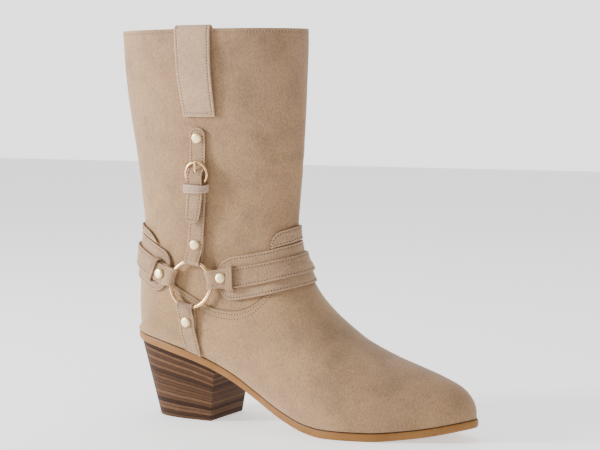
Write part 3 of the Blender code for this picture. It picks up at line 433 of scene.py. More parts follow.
# Creases of the upper, each a soft trough with a ridge beside it
# along, level: its middle     side: -1 outer, 1 inner     lean: degrees from level
# long, wide: its half length and half width, shares of the ball     deep: share of the wall
CREASES = (
    (0.455, 1.230, -1, -10.0, 0.34, 0.045, 0.55),
    (0.460, 1.320, -1, 6.0, 0.30, 0.050, 0.40),
    (0.100, 1.270, -1, 16.0, 0.28, 0.050, 0.45),
    (0.080, 0.930, -1, -24.0, 0.26, 0.060, 0.40),
    (0.360, 0.830, -1, 28.0, 0.26, 0.055, 0.35),
    (0.640, 0.400, -1, 62.0, 0.20, 0.060, 0.30),
    (0.690, 0.360, -1, 66.0, 0.20, 0.060, 0.25),
    (0.455, 1.250, 1, 8.0, 0.34, 0.045, 0.50),
    (0.120, 1.250, 1, -14.0, 0.28, 0.050, 0.45),
    (0.340, 0.820, 1, 24.0, 0.26, 0.055, 0.35),
    (0.660, 0.380, 1, 62.0, 0.22, 0.060, 0.30),
    (0.300, 1.700, 1, 70.0, 0.40, 0.090, 0.35),
    (0.420, 1.620, -1, 78.0, 0.42, 0.090, 0.35),
)
# The ridge beside a crease, in the crease's half widths: height, place and spread
RIDGE = (0.55, 1.9, 1.5)
# Waves all over the upper, their number per metre, and how far they fade out at sole and collar
WAVE_DEPTH = 0.00035
WAVE_SCALE = 24.0
CALM_LOW = 0.006
CALM_HIGH = 0.010
HEEL_LAYERS = 19
# Rows down the heel block and along it, and how much closer its corners lie at the back
HEEL_ROWS = 40
HEEL_CROWD = 1.6

# Camera: where it stands and what it looks at, with the lens for a 36 mm sensor
CAMERA_PLACE = (0.6855, -1.0363, 0.2315)
CAMERA_AIM = (0.0872, 0.0, 0.1415)
CAMERA_LENS = 102.24
# Strength of the pale studio round the boot, before it and behind it
SKY_FRONT = 0.46
SKY_BEHIND = 2.3
FLOOR_GLOW = 0.75
# Soft lights: name, place, what it looks at, size, power
LIGHTS = (
    ("key", (-1.25, -0.92, 0.62), (0.04, 0.0, 0.14), (0.4, 0.5), 46.0),
    ("fill", (1.5, -0.5, 0.8), (0.04, 0.0, 0.14), (0.9, 0.9), 3.0),
    ("top", (0.1, 0.1, 1.6), (0.05, 0.0, 0.1), (1.2, 1.2), 8.0),
)


def place(along):
    """X of a place given as a share of the foot's length."""
    return (along - TREAD_CENTRE) * FOOT_LENGTH


def level(share):
    """Height of a level: 0 on the floor, 1 at the instep, 2 at the collar."""
    return INSTEP_HEIGHT * min(share, 1.0) + (BOOT_HEIGHT - INSTEP_HEIGHT) * max(share - 1.0, 0.0)


def smooth(table, value):
    """Height at value of a curve through a table's first two columns, without overshoot."""
    xs = [row[0] for row in table]
    ys = [row[1] for row in table]
    steps = [b - a for a, b in zip(xs, xs[1:])]
    slopes = [(b - a) / step for a, b, step in zip(ys, ys[1:], steps)]
    lean = [slopes[0]]
    for before, after in zip(slopes, slopes[1:]):
        same_way = before * after > 0
        lean.append(2 * before * after / (before + after) if same_way else 0.0)
    lean.append(slopes[-1])
    value = min(max(value, xs[0]), xs[-1])
    k = max(i for i in range(len(steps)) if xs[i] <= value)
    u = (value - xs[k]) / steps[k]
    rise = (3 - 2 * u) * u * u * (ys[k + 1] - ys[k])
    bend = steps[k] * u * (1 - u) * ((1 - u) * lean[k] - u * lean[k + 1])
    return ys[k] + rise + bend


def between(table, t):
    """The columns of a table at row t, on a smooth curve through its rows."""
    last = len(table) - 1
    k = min(int(t), last - 1)
    u = t - k
    a, b, c, d = (table[min(max(k + step, 0), last)] for step in (-1, 0, 1, 2))
    return b + 0.5 * u * (c - a + u * (2 * a - 5 * b + 4 * c - d + u * (3 * (b - c) + d - a)))


def section_row(t):
    """The sections' columns at row t, which may lie past the collar."""
    table = np.array(SECTIONS)
    last = len(table) - 1
    if t >= last:
        return table[last] + (table[last] - table[last - 1]) * (t - last)
    nose = table[1].copy()
    nose[3] = 2 * table[0][3] - table[1][3]
    nose[4:6] *= -1
    row = between(np.vstack([nose, table, 2 * table[last] - table[last - 1]]), t + 1)
    row[1] = max(row[1], 0.0)
    row[6] = max(row[6], 0.0)
    return row


def foot_rows(count=FINE_FOOT_ROWS):
    """Rows that stand on the sole, from the toe to the heel's back."""
    return [HEEL_ROW * k / (count - 1) for k in range(count)]


def sole_knots():
    """Places and heights along the outsole's underside where all pieces on it have corners."""
    alongs = [section_row(t)[0] for t in foot_rows()[::-1]]
    return [place(a) for a in alongs], [HEEL_HEIGHT * smooth(SOLE_LINE, a) for a in alongs]


SOLE_KNOTS = sole_knots()


def sole_bottom(x):
    """Height of the outsole's underside at x."""
    return float(np.interp(x, *SOLE_KNOTS))


def sole_top(x):
    return sole_bottom(x) + SOLE_THICKNESS


def section_points(t, low_faces, high_faces):
    """One section's points from the outer low edge over the ridge to the inner low edge."""
    back, climb, front, top, outer, inner, tread, belly, crown, skirt, swing = section_row(t)
    ground = sole_top(place(back))
    low = Vector((place(back), 0, ground + climb * (BOOT_HEIGHT - ground)))
    high = Vector((place(front), 0, level(top)))
    leg = min(1.0, climb / LEG_CLIMB)
    half = (BALL_WIDTH + (COLLAR_WIDTH - BALL_WIDTH) * leg) / 2
    marks = []
    for k in range(low_faces):
        turn = math.pi / 2 * (1 - k / low_faces)
        wide = tread + (1 - tread) * max(math.cos(turn), 0.0) ** (2 / skirt)
        marks.append((belly * (1 - math.sin(turn) ** (2 / skirt)), wide if k else tread))
    for k in range(high_faces + 1):
        turn = math.pi / 2 * k / high_faces
        wide = math.cos(turn) ** (2 / crown) if k < high_faces else 0.0
        marks.append((belly + (1 - belly) * math.sin(turn) ** (2 / crown), wide))
    middle = Vector((0, swing * BALL_WIDTH / 2, 0))
    outer_side = [low.lerp(high, v) + middle - Vector((0, half * outer * w, 0)) for v, w in marks]
    inner_side = [low.lerp(high, v) + middle + Vector((0, half * inner * w, 0)) for v, w in marks]
    return outer_side + inner_side[-2::-1]


def upper_rows(count, low_faces, side_faces, first=0.0, past=0.0):
    """Sections of the last, evenly spread over the table's rows."""
    last = len(SECTIONS) - 1 + past
    ts = [first + (last - first) * k / (count - 1) for k in range(count)]
    return eased([section_points(t, low_faces, side_faces - low_faces) for t in ts], ts)


def eased(rows, ts):
    """Rows evened out above the heel, where the sections begin to lean over."""
    grid = np.array([[tuple(p) for p in row] for row in rows])
    near = np.clip(1 - np.abs(np.array(ts) - HEEL_TURN) / TURN_REACH, 0.0, 1.0)
    tops = np.array([[sole_top(p.x) for p in row] for row in rows])
    above = np.clip((grid[:, :, 2] - tops - TURN_LOW) / TURN_RISE, 0.0, 1.0)
    weight = (near[:, None] * above)[1:-1, :, None]
    for _ in range(int(0.5 / (ts[1] - ts[0]) ** 2)):
        even = (grid[:-2] + 2 * grid[1:-1] + grid[2:]) / 4
        grid[1:-1] += (even - grid[1:-1]) * weight
    return [[Vector(p) for p in row] for row in grid]


def surface_bmesh(rows):
    """An open surface over rows of points, facing out, with doubled points joined."""
    bm = bmesh.new()
    verts = [[bm.verts.new(p) for p in row] for row in rows]
    for low, high in zip(verts, verts[1:]):
        for a, b, c, d in zip(low, low[1:], high[1:], high):
            bm.faces.new((a, b, c, d))
    bmesh.ops.remove_doubles(bm, verts=bm.verts, dist=1e-5)
    bm.normal_update()
    return bm


def panel_line(x):
    """Height of the foot panel's upper edge at x."""
    return level(smooth(PANEL_EDGE, x / FOOT_LENGTH + TREAD_CENTRE))


def laying_form(upper):
    """The upper's outer face as straps meet it: its smooth form, and the solid's own faces."""
    bm = surface_bmesh(upper_rows(*FORM_FACES))
    margin = 6 * PANEL_STEP
    for vert in bm.verts:
        over_foot = vert.co.x < place(PANEL_EDGE[-1][0])
        if over_foot and vert.co.z > panel_line(vert.co.x) + margin:
            vert.co -= vert.normal * PANEL_STEP
    smooth_form = BVHTree.FromBMesh(bm)
    bm.free()
    return smooth_form, BVHTree.FromObject(upper, bpy.context.evaluated_depsgraph_get())


def cast(form, start, way):
    """Where a ray first meets the form, with the smooth form's outward normal."""
    smooth_form, solid = form
    point, normal, _, _ = smooth_form.ray_cast(start, way)
    if point is None:
        point, normal, _, _ = smooth_form.find_nearest(start)
    face_point, _, _, _ = solid.ray_cast(start, way)
    if face_point and (face_point - point).dot(way) < 0:
        point = face_point
    return point, normal


def round_ankle(form, degrees, share):
    """The surface point at degrees round the ankle's axis and a level."""
    turn = math.radians(degrees)
    way = Vector((math.cos(turn), math.sin(turn), 0))
    axis = Vector((place(ANKLE_AXIS), 0, level(share)))
    return cast(form, axis + way * FOOT_LENGTH, -way)


def on_side(form, along, share):
    """The outer side's surface point at a place along the foot and a level."""
    start = Vector((place(along), -FOOT_LENGTH, level(share)))
    return cast(form, start, Vector((0, 1, 0)))


class Line:
    """A strap's middle line on the upper, walked by distance from its start."""

    def __init__(self, form, charted, table):
        self.form = form
        rows = np.array(table)
        steps = LINE_STEPS * (len(rows) - 1)
        spots = [charted(form, *between(rows, k / LINE_STEPS)) for k in range(steps + 1)]
        self.path = []
        for k, (point, _) in enumerate(spots):
            near = spots[max(k - 2, 0) : k + 3]
            self.path.append((point, sum((n for _, n in near), Vector()).normalized()))
        self.marks = [0.0]
        for (a, _), (b, _) in zip(self.path, self.path[1:]):
            self.marks.append(self.marks[-1] + (b - a).length)
        self.length = self.marks[-1]

    def spot(self, distance):
        """Point and outward normal at a distance."""
        distance = min(max(distance, 0.0), self.length)
        k = 0
        while k < len(self.path) - 2 and self.marks[k + 1] < distance:
            k += 1
        u = (distance - self.marks[k]) / (self.marks[k + 1] - self.marks[k])
        (a, n), (b, m) = self.path[k], self.path[k + 1]
        return a.lerp(b, u), n.lerp(m, u).normalized()

    def at(self, distance):
        """Point, direction and outward normal at a distance."""
        point, out = self.spot(distance)
        ahead = self.spot(distance + STATION_STEP / 2)[0]
        behind = self.spot(distance - STATION_STEP / 2)[0]
        return point, (ahead - behind).normalized(), out

    def row(self, distance, marks):
        """Points across the line at marks of (offset, lift), each lifted off the upper."""
        point, way, out = self.at(distance)
        across = out.cross(way).normalized()
        points = []
        for w, lift in marks:
            hit, normal = cast(self.form, point + across * w + out * CAST_FROM, -out)
            points.append(hit + normal * lift)
        return points


def rounded_stations(start, end, half, round_start=0.0, round_end=0.0):
    """Distances along a strap with its half width at each, for ends rounded by a radius."""
    marks = []
    for k in range(10 if round_start else 0):
        turn = math.radians(10 * k)
        marks.append((start + round_start * (1 - math.cos(turn)),
                      half - round_start * (1 - math.sin(turn))))
    first = start + round_start
    last = end - round_end
    steps = max(1, round((last - first) / STATION_STEP))
    for k in range(1 if round_start else 0, steps + (0 if round_end else 1)):
        marks.append((first + (last - first) * k / steps, half))
    for k in range(10 if round_end else 0):
        turn = math.radians(90 - 10 * k)
        marks.append((end - round_end * (1 - math.cos(turn)),
                      half - round_end * (1 - math.sin(turn))))
    return marks


def smooth_rows(rows):
    """Rows of a strap resampled finely along it and evened out."""
    grid = np.array([[tuple(p) for p in row] for row in rows])
    spans = np.linalg.norm(np.diff(grid.mean(axis=1), axis=0), axis=1)
    marks = np.concatenate([[0.0], np.cumsum(np.maximum(spans, 1e-5))])
    count = max(8, int(marks[-1] / FINE_STEP))
    ends = [m for m in marks if min(m, marks[-1] - m) < END_ZONE]
    goals = [0.0]
    for goal in sorted([*np.linspace(0.0, marks[-1], count + 1), *ends]):
        if goal - goals[-1] > FINE_STEP / 10:
            goals.append(goal)
    fine = np.empty((len(goals), *grid.shape[1:]))
    for j in range(grid.shape[1]):
        for axis in range(3):
            fine[:, j, axis] = np.interp(goals, marks, grid[:, j, axis])
    middle = fine.mean(axis=1, keepdims=True)
    arms = fine - middle
    wide = np.linalg.norm(arms[:, -1] - arms[:, 0], axis=1)
    for _ in range(5):
        middle[1:-1] = (middle[:-2] + 2 * middle[1:-1] + middle[2:]) / 4
        arms[1:-1] = (arms[:-2] + 2 * arms[1:-1] + arms[2:]) / 4
    now = np.linalg.norm(arms[:, -1] - arms[:, 0], axis=1)
    arms *= (wide / np.maximum(now, 1e-6))[:, None, None]
    return middle + arms, goals


def new_object(name, bm, *materials, collection=None):
    """A shaded object from a bmesh, which is freed. With no material it is a cutter."""
    collection = collection or bpy.data.collections["dressed" if materials else "cutters"]
    mesh = bpy.data.meshes.new(name)
    bm.to_mesh(mesh)
    bm.free()
    obj = bpy.data.objects.new(name, mesh)
    collection.objects.link(obj)
    for material in materials:
        mesh.materials.append(material)
    if materials:
        mesh.shade_smooth()
        mesh.set_sharp_from_angle(angle=math.radians(50))
    else:
        obj.hide_render = True
        obj.hide_viewport = True
    return obj


def settle(obj):
    """Applies an object's modifiers, so that its mesh is what is seen."""
    graph = bpy.context.evaluated_depsgraph_get()
    mesh = bpy.data.meshes.new_from_object(obj.evaluated_get(graph))
    obj.modifiers.clear()
    obj.data = mesh
    return obj


def thicken(obj, thickness, offset=0.0):
    wall = obj.modifiers.new("thickness", "SOLIDIFY")
    wall.thickness = thickness
    wall.offset = offset
    wall.use_even_offset = True
    return wall


def combine(obj, other, operation):
    cut = obj.modifiers.new(operation.lower(), "BOOLEAN")
    cut.object = other
    cut.operation = operation
    cut.solver = "EXACT"


def edge_distance(bm, fine):
    """Keeps each point's distance from the strap's edge as the attribute edge."""
    layer = bm.verts.layers.float.new("edge")
    rim = np.vstack([fine[0], fine[1:, -1], fine[-1, ::-1], fine[::-1, 0]])
    points = []
    for a, b in zip(rim, rim[1:]):
        count = max(1, int(np.linalg.norm(b - a) / RIM_STEP))
        points += [a + (b - a) * k / count for k in range(count)]
    tree = KDTree(len(points))
    for k, point in enumerate(points):
        tree.insert(point, k)
    tree.balance()
    for vert in bm.verts:
        vert[layer] = tree.find(vert.co)[2]


# Fine rows, distances and thickness of each strap, and materials, by name
SHEETS = {}
LOOKS = {}


def sheet(name, rows, thickness=STRAP_THICKNESS, look="strap"):
    """A strap or patch with soft edges, a darker cut edge and its fine rows kept for stitches."""
    fine, marks = smooth_rows(rows)
    bm = surface_bmesh([[Vector(p) for p in row] for row in fine])
    edge_distance(bm, fine)
    obj = new_object(name + "_dressed", bm, LOOKS[look], LOOKS["cut_edge"])
    wall = thicken(obj, thickness)
    wall.material_offset_rim = 1
    soft = obj.modifiers.new("soft_edges", "BEVEL")
    soft.width = thickness * SOFT_SHARE
    soft.segments = SOFT_FACES
    soft.limit_method = "ANGLE"
    soft.angle_limit = math.radians(SOFT_ANGLE)
    soft.material = 0
    SHEETS[name] = (fine, marks, thickness)
    return obj


def prism(name, outline, low, high):
    """A cutter: an outline in side view, as (x, z), drawn out along Y."""
    bm = bmesh.new()
    face = bm.faces.new([bm.verts.new((x, low, z)) for x, z in outline])
    drawn = bmesh.ops.extrude_face_region(bm, geom=[face])
    moved = [g for g in drawn["geom"] if isinstance(g, bmesh.types.BMVert)]
    bmesh.ops.translate(bm, verts=moved, vec=(0, high - low, 0))
    bmesh.ops.recalc_face_normals(bm, faces=bm.faces)
    return new_object(name, bm)


def make_upper():
    """The hollow wall, thinned above the foot panel's edge so that the panel stands a step out."""
    rows = upper_rows(UPPER_ROWS, LOW_FACES, SIDE_FACES)
    upper = new_object("upper_dressed", surface_bmesh(rows), LOOKS["body"], LOOKS["lining"])
    wall = thicken(upper, SHAFT_WALL + PANEL_STEP, -1.0)
    wall.material_offset = 1
    margin = 3 * PANEL_STEP
    rows = upper_rows(UPPER_ROWS - SKIN_ROWS_LESS, LOW_FACES, SIDE_FACES, SKIN_FIRST, SKIN_PAST)
    skin = new_object("shaft_skin", surface_bmesh(rows))
    thicken(skin, PANEL_STEP + margin, 1.0 - 2 * PANEL_STEP / (PANEL_STEP + margin))
    outline = []
    for k in range(SEAM_MARKS + 1):
        along = PANEL_EDGE[0][0] + (PANEL_EDGE[-1][0] - PANEL_EDGE[0][0]) * k / SEAM_MARKS
        outline.append((place(along), panel_line(place(along))))
    above = BOOT_HEIGHT + 10 * margin
    outline += [(outline[-1][0], above), (outline[0][0], above)]
    side = prism("shaft_side", outline, -BALL_WIDTH, BALL_WIDTH)
    for cutter in (skin, side):
        cutter.hide_viewport = False
    combine(skin, side, "INTERSECT")
    combine(upper, skin, "DIFFERENCE")
    settle(upper)
    for cutter in (skin, side):
        bpy.data.objects.remove(cutter)
    crease(upper)
    return upper


def crease(upper):
    """Soft troughs, ridges and waves on the upper, and its distance from the panel's edge."""
    mesh = upper.data
    edge = mesh.attributes.new("panel", "FLOAT", "POINT")
    first = place(PANEL_EDGE[0][0])
    last = place(PANEL_EDGE[-1][0])
    kept = {v.index: v.co.copy() for v in mesh.vertices}
    normals = [v.normal.copy() for v in mesh.vertices]
    axis = place(ANKLE_AXIS)
    height, off, spread = RIDGE
    for vert in mesh.vertices:
        p = kept[vert.index]
        x = min(max(p.x, min(first, last)), max(first, last))
        edge.data[vert.index].value = p.z - panel_line(x)
        away = Vector((p.x - axis, p.y, 0)) if p.z > INSTEP_HEIGHT else Vector((0, p.y, 0))
        away = away.normalized() if away.length > 1e-6 else normals[vert.index]
        shift = 0.0
        side = 1 if p.y > 0 else -1
        for along, high, on, lean, long, wide, deep in CREASES:
            if on != side:
                continue
            dx = (p.x - place(along)) / BALL_WIDTH
            dz = (p.z - level(high)) / BALL_WIDTH
            turn = math.radians(lean)
            u = (dx * math.cos(turn) + dz * math.sin(turn)) / long
            v = (dz * math.cos(turn) - dx * math.sin(turn)) / wide
            if abs(u) > 1 or abs(v) > 4:
                continue
            fade = (1 - u * u) ** 2 * min(abs(p.y) / (0.1 * BALL_WIDTH), 1.0)
            shape = math.exp(-v * v) - height * math.exp(-(v - off) ** 2 / spread)
            shift -= fade * shape * deep * SHAFT_WALL
        shift += WAVE_DEPTH * noise.noise(p * WAVE_SCALE)
        calm = min(max((p.z - sole_top(p.x)) / CALM_LOW, 0.0), 1.0)
        calm *= min(max((BOOT_HEIGHT - p.z) / CALM_HIGH, 0.0), 1.0)
        vert.co = p + away * shift * calm
    mesh.update()


def feather_line():
    """The upper's low edge in plan as outer and inner points, from the heel to the toe."""
    outer = []
    inner = []
    for t in foot_rows()[::-1]:
        points = section_points(t, 2, 2)
        outer.append(points[0].xy)
        inner.append(points[-1].xy)
    return outer, inner


def grown(outer, inner, distance):
    """The plan outline moved out by a distance, as outer and inner points of equal number."""
    loop = outer + inner[-2:0:-1]
    moved = []
    for k, point in enumerate(loop):
        way = (loop[(k + 1) % len(loop)] - loop[k - 1]).normalized()
        moved.append(point + Vector((way.y, -way.x)) * distance)
    count = len(outer)
    return moved[:count], [moved[0]] + moved[:count - 2:-1]


def slab(levels, name, shares, *materials):
    """A closed solid over levels of (outer, inner, height function), lowest first.

    The share given for each level is kept on its points as the attribute stack."""
    bm = bmesh.new()
    stack = bm.verts.layers.float.new("stack")
    rings = []
    for (outer, inner, height), share in zip(levels, shares):
        loop = outer + inner[-2:0:-1]
        ring = [bm.verts.new((p.x, p.y, height(p.x))) for p in loop]
        for vert in ring:
            vert[stack] = share
        rings.append(ring)
    for low, high in zip(rings, rings[1:]):
        for k in range(len(low)):
            j = (k + 1) % len(low)
            bm.faces.new((low[k], low[j], high[j], high[k]))
    half = len(levels[0][0])
    for ring in (rings[0], rings[-1]):
        side_a = ring[:half]
        side_b = [ring[0]] + ring[:half - 2:-1]
        for k in range(half - 1):
            corners = [side_a[k], side_a[k + 1], side_b[k + 1], side_b[k]]
            cap = bm.faces.new([v for i, v in enumerate(corners) if v not in corners[:i]])
            cap.material_index = len(materials) - 1 if ring is rings[0] else 0
    bmesh.ops.recalc_face_normals(bm, faces=bm.faces)
    return new_object(name, bm, *materials)


def make_outsole():
    """The tan sole: outline of the last grown by the sole's edge, with a rounded side."""
    outer, inner = feather_line()
    levels = []
    shares = []
    steps = 8
    for k in range(steps + 1):
        share = k / steps
        rise = (SOLE_THICKNESS - GAP) * share
        pull = SOLE_ROUND * (2 * share - 1) ** 4
        outline = grown(outer, inner, SOLE_EDGE - pull)
        levels.append((*outline, lambda x, rise=rise: sole_bottom(x) + rise))
        shares.append(share)
    return slab(levels, "outsole_dressed", shares, LOOKS["sole_edge"], LOOKS["sole_tread"])


def make_heel():
    """The stacked block: the seat's outline under the sole, drawn in to the tread."""
    outer, inner = feather_line()
    outer, inner = grown(outer, inner, SOLE_EDGE - HEEL_INSET)
    breast = place(HEEL_BREAST)
    back = outer[0].x

    def trimmed(side):
        line = []
        for k in range(HEEL_ROWS + 1):
            x = back + (breast - back) * (k / HEEL_ROWS) ** HEEL_CROWD
            j = next(i for i in range(1, len(side)) if side[i].x >= x or i == len(side) - 1)
            u = (x - side[j - 1].x) / (side[j].x - side[j - 1].x)
            line.append(side[j - 1].lerp(side[j], u))
        return line

    outer = trimmed(outer)
    inner = trimmed(inner)
    top_middle = (back + breast) / 2
    wide = max(p.y for p in inner) - min(p.y for p in outer)

    def drawn_in(share):
        long = 1 + (TREAD_LENGTH / (breast - back) - 1) * share
        across = 1 + (TREAD_WIDTH / wide - 1) * share

        def moved(side):
            return [Vector((top_middle * (1 - share) + (p.x - top_middle) * long, p.y * across))
                    for p in side]

        return moved(outer), moved(inner)

    levels = []
    shares = []
    for k in range(HEEL_ROWS + 1):
        share = 1 - k / HEEL_ROWS
        ring = drawn_in(share)
        heights = {round(p.x, 7): (sole_bottom(q.x) - 1.5 * GAP) * (1 - share)
                   for side, first in zip(ring, (outer, inner)) for p, q in zip(side, first)}
        levels.append((*ring, lambda x, heights=heights: heights[round(x, 7)]))
        shares.append(1 - share)
    return slab(levels, "heel_dressed", shares, LOOKS["stacked"], LOOKS["heel_tread"])


def laid(half, lift, count=ACROSS, shift=0.0):
    """Marks across a flat strip: offset and lift of each point."""
    return [(shift + half * (2 * j / (count - 1) - 1), lift) for j in range(count)]


def laid_rows(line, stations, lift, count=ACROSS, shift=0.0):
    return [line.row(s, laid(half, lift, count, shift)) for s, half in stations]


def even_stations(start, end, half):
    steps = max(1, round(abs(end - start) / STATION_STEP))
    return [(start + (end - start) * k / steps, half) for k in range(steps + 1)]


def fold(wire, inward, out, across, radius, half, bend=0.0):
    """Rows of an arc round a wire, from its boot side over the inward side to its outer side."""
    rows = []
    for k in range(13):
        turn = math.pi * k / 12
        arm = (inward * math.sin(turn) - out * math.cos(turn)) * radius
        row = []
        for w, _ in laid(half, 0.0):
            sag = bend - math.sqrt(bend * bend - w * w) if bend else 0.0
            row.append(wire + inward * sag + across * w + arm)
        rows.append(row)
    return rows


class RingSeat:
    """Where the ring lies: its centre and plane over the upper, and its four loops."""

    def __init__(self, harness, upright, bottom):
        spots = {
            "front": harness.at(RING_RADIUS)[0],
            "rear": harness.at(harness.length - RING_RADIUS)[0],
            "top": upright.at(RING_RADIUS)[0],
            "bottom": bottom.at(RING_RADIUS)[0],
        }
        up = (spots["top"] - spots["bottom"]).normalized()
        forward = (spots["front"] - spots["rear"]).normalized()
        self.out = forward.cross(up).normalized()
        if self.out.y > 0:
            self.out.negate()
        middle = upright.at(0.0)[0]
        reach = max((p - middle).dot(self.out) for p in spots.values())
        self.centre = middle + self.out * (max(reach, 0.0) + RING_LIFT)
        self.ways = {}
        for name, spot in spots.items():
            way = spot - self.centre
            self.ways[name] = (way - self.out * way.dot(self.out)).normalized()

    def loop(self, name, line_way, half):
        """The fold of a strap round the ring's wire at one of the four places."""
        way = self.ways[name]
        across = self.out.cross(line_way)
        across = (across - way * across.dot(way)).normalized()
        radius = RING_WIRE / 2 + FOLD_GAP + STRAP_THICKNESS / 2
        wire = self.centre + way * RING_RADIUS
        rows = fold(wire, -way, self.out, across, radius, half, RING_RADIUS)
        beyond = (way * LOOP_BEYOND - self.out * LOOP_DOWN) * RING_WIRE
        return rows + [[point + beyond for point in rows[-1]]]


def make_harness_strap(line, seat):
    """One strap: doubled at the front, round the ring's wire, round the ankle and back."""
    half = LOOP_WIDTH / 2
    wide = HARNESS_WIDTH / 2
    clear = RING_RADIUS + RING_WIRE * HARNESS_LOOP["leave"]
    rise = RING_RADIUS + RING_WIRE * HARNESS_LOOP["meet"]
    front = HARNESS_PLACES["front"]["keeper"] * RING_RADIUS + KEEPER_LENGTH * UNDER_KEEPER
    rear = HARNESS_PLACES["rear"]["keeper"] * RING_RADIUS + KEEPER_LENGTH * UNDER_KEEPER
    end = line.length
    rows = laid_rows(line, even_stations(front, rise, half), OUTER_LIFT)
    rows += seat.loop("front", line.at(RING_RADIUS)[1], half)[::-1]
    rows += laid_rows(line, [(clear, half)], HARNESS_LIFT)
    rows += laid_rows(line, even_stations(rise, end - rise, wide), HARNESS_LIFT)
    rows += laid_rows(line, [(end - clear, half)], HARNESS_LIFT)
    rows += seat.loop("rear", line.at(end - RING_RADIUS)[1], half)
    rows += laid_rows(line, even_stations(end - rise, end - rear, half), OUTER_LIFT)
    return sheet("harness_strap", rows)


def make_backing_strap(line):
    start = HARNESS_PLACES["front"]["end"] * RING_RADIUS
    end = line.length - HARNESS_PLACES["rear"]["end"] * RING_RADIUS
    corner = BACKING_WIDTH * BACKING_CORNER
    stations = rounded_stations(start, end, BACKING_WIDTH / 2, corner, corner)
    rows = laid_rows(line, stations, BACKING_LIFT)
    return sheet("backing_strap", rows)


def make_patch(name, line, patch):
    """A patch that rises from the backing strap's upper edge and tapers to it at both ends."""
    marks = []
    for k in range(TURN_MARKS + 1):
        distance = line.length * k / TURN_MARKS
        point = line.at(distance)[0]
        degrees = math.degrees(math.atan2(point.y, point.x - place(ANKLE_AXIS)))
        marks.append((degrees % 360 if degrees < -90 else degrees, distance))
    start, end = (min(marks, key=lambda m: abs(m[0] - goal))[1] for goal in patch["span"])
    taper = PATCH_WIDTH * patch["taper"]
    low = BACKING_WIDTH / 2 + 2 * LAY_GAP
    steps = round((end - start) / PATCH_STEP)
    rows = []
    for k in range(steps + 1):
        s = start + (end - start) * k / steps
        risen = min((s - start) / taper, (end - s) / taper, 1.0)
        risen = max(math.sin(math.pi / 2 * risen) ** patch["ease"], PATCH_END)
        wide = PATCH_WIDTH * patch["width"] * risen
        rows.append(line.row(s, laid(wide / 2, PATCH_LIFT, ACROSS, low + wide / 2)))
    return sheet(name, rows, PATCH_THICKNESS)


def make_keeper(name, line, distance, length, marks, look="strap"):
    """A staple of leather over straps: the same marks across at a few rows along the line."""
    rows = [line.row(distance + k * length / 2, marks) for k in (-1, 0, 1)]
    return sheet(name, rows, KEEPER_THICKNESS, look)


def staple(half, low, high):
    """Marks of a keeper's cross-section: up one leg, over and down the other."""
    corner = KEEPER_THICKNESS
    side = [(-half, low), (-half, high - corner), (-half + corner, high)]
    return side + [(0.0, high)] + [(-w, lift) for w, lift in side[::-1]]


class BuckleSeat:
    """The buckle's place on the upright strap, in shares of its radius."""

    def __init__(self, line):
        self.point, self.up, self.out = line.at(BUCKLE_PLACE * line.length)
        self.across = self.out.cross(self.up).normalized()
        self.distance = BUCKLE_PLACE * line.length

    def spot(self, up, lift, across=0.0):
        move = self.up * up + self.out * lift + self.across * across
        return self.point + move * BUCKLE_RADIUS

    def row(self, up, lift, half, shift=0.0):
        return [self.spot(up, lift, w) for w, _ in laid(half, 0.0, ACROSS, shift)]


def make_lower_buckle_strap(line, ring, buckle):
    """Doubled round the ring at its foot and round the buckle's bar at its top."""
    half = BUCKLE_STRAP_WIDTH / 2
    share = half / BUCKLE_RADIUS
    clear = RING_RADIUS + RING_WIRE * SMALL_LOOP["leave"]
    rise = RING_RADIUS + RING_WIRE * SMALL_LOOP["meet"]
    below = buckle.distance - BUCKLE_RADIUS * BUCKLE_RUN["below"]
    back_end = buckle.distance - BUCKLE_RADIUS * BUCKLE_RUN["back end"]
    rows = laid_rows(line, even_stations(UPRIGHT_BACK_END * RING_RADIUS, clear, half), FIRST_LIFT)
    rows += ring.loop("top", line.at(RING_RADIUS)[1], half)
    rows += laid_rows(line, even_stations(rise, below, half), SECOND_LIFT)
    neck = share * STRAP_NECK
    rows += [buckle.row(up, lift, neck) for up, lift in LOWER_AT_BUCKLE]
    bar = buckle.spot(-BAR_DROP / BUCKLE_RADIUS, BUCKLE_LIFT)
    radius = BAR_WIRE / 2 + FOLD_GAP + STRAP_THICKNESS / 2
    turned = fold(bar, buckle.up, buckle.out, buckle.across, radius, neck * BUCKLE_RADIUS)
    rows += turned[::-1]
    rows += [buckle.row(up, lift, neck) for up, lift in LOWER_BEHIND_BUCKLE]
    rows += laid_rows(line, even_stations(below, back_end, half), FIRST_LIFT)
    return sheet("lower_buckle_strap", rows)


def make_upper_buckle_strap(line, buckle):
    """Riveted at its top, through the buckle over the bar, with a free tail below."""
    half = BUCKLE_STRAP_WIDTH / 2
    share = half / BUCKLE_RADIUS
    top = STRAP_TOP * line.length
    lie = buckle.distance + BUCKLE_RADIUS * BUCKLE_RUN["lie"]
    rows = laid_rows(line, rounded_stations(lie, top, half, 0.0, half * TOP_ROUND)[::-1], FIRST_LIFT)
    rows.append(buckle.row(BUCKLE_RUN["above"], UPPER_AT_BUCKLE[0][1], share))
    rows += [buckle.row(up, lift, share) for up, lift in UPPER_AT_BUCKLE]
    rows += [buckle.row(up, lift, reach, shift) for up, lift, shift, reach in TAIL]
    return sheet("upper_buckle_strap", rows)


def to_sole(above, low):
    """The point on the way from above through low that lies just over the sole's top."""
    way = (low - above) / (above.z - low.z)
    point = low
    for _ in range(4):
        point = above + way * (above.z - sole_top(point.x) - OVER_SOLE)
    return point


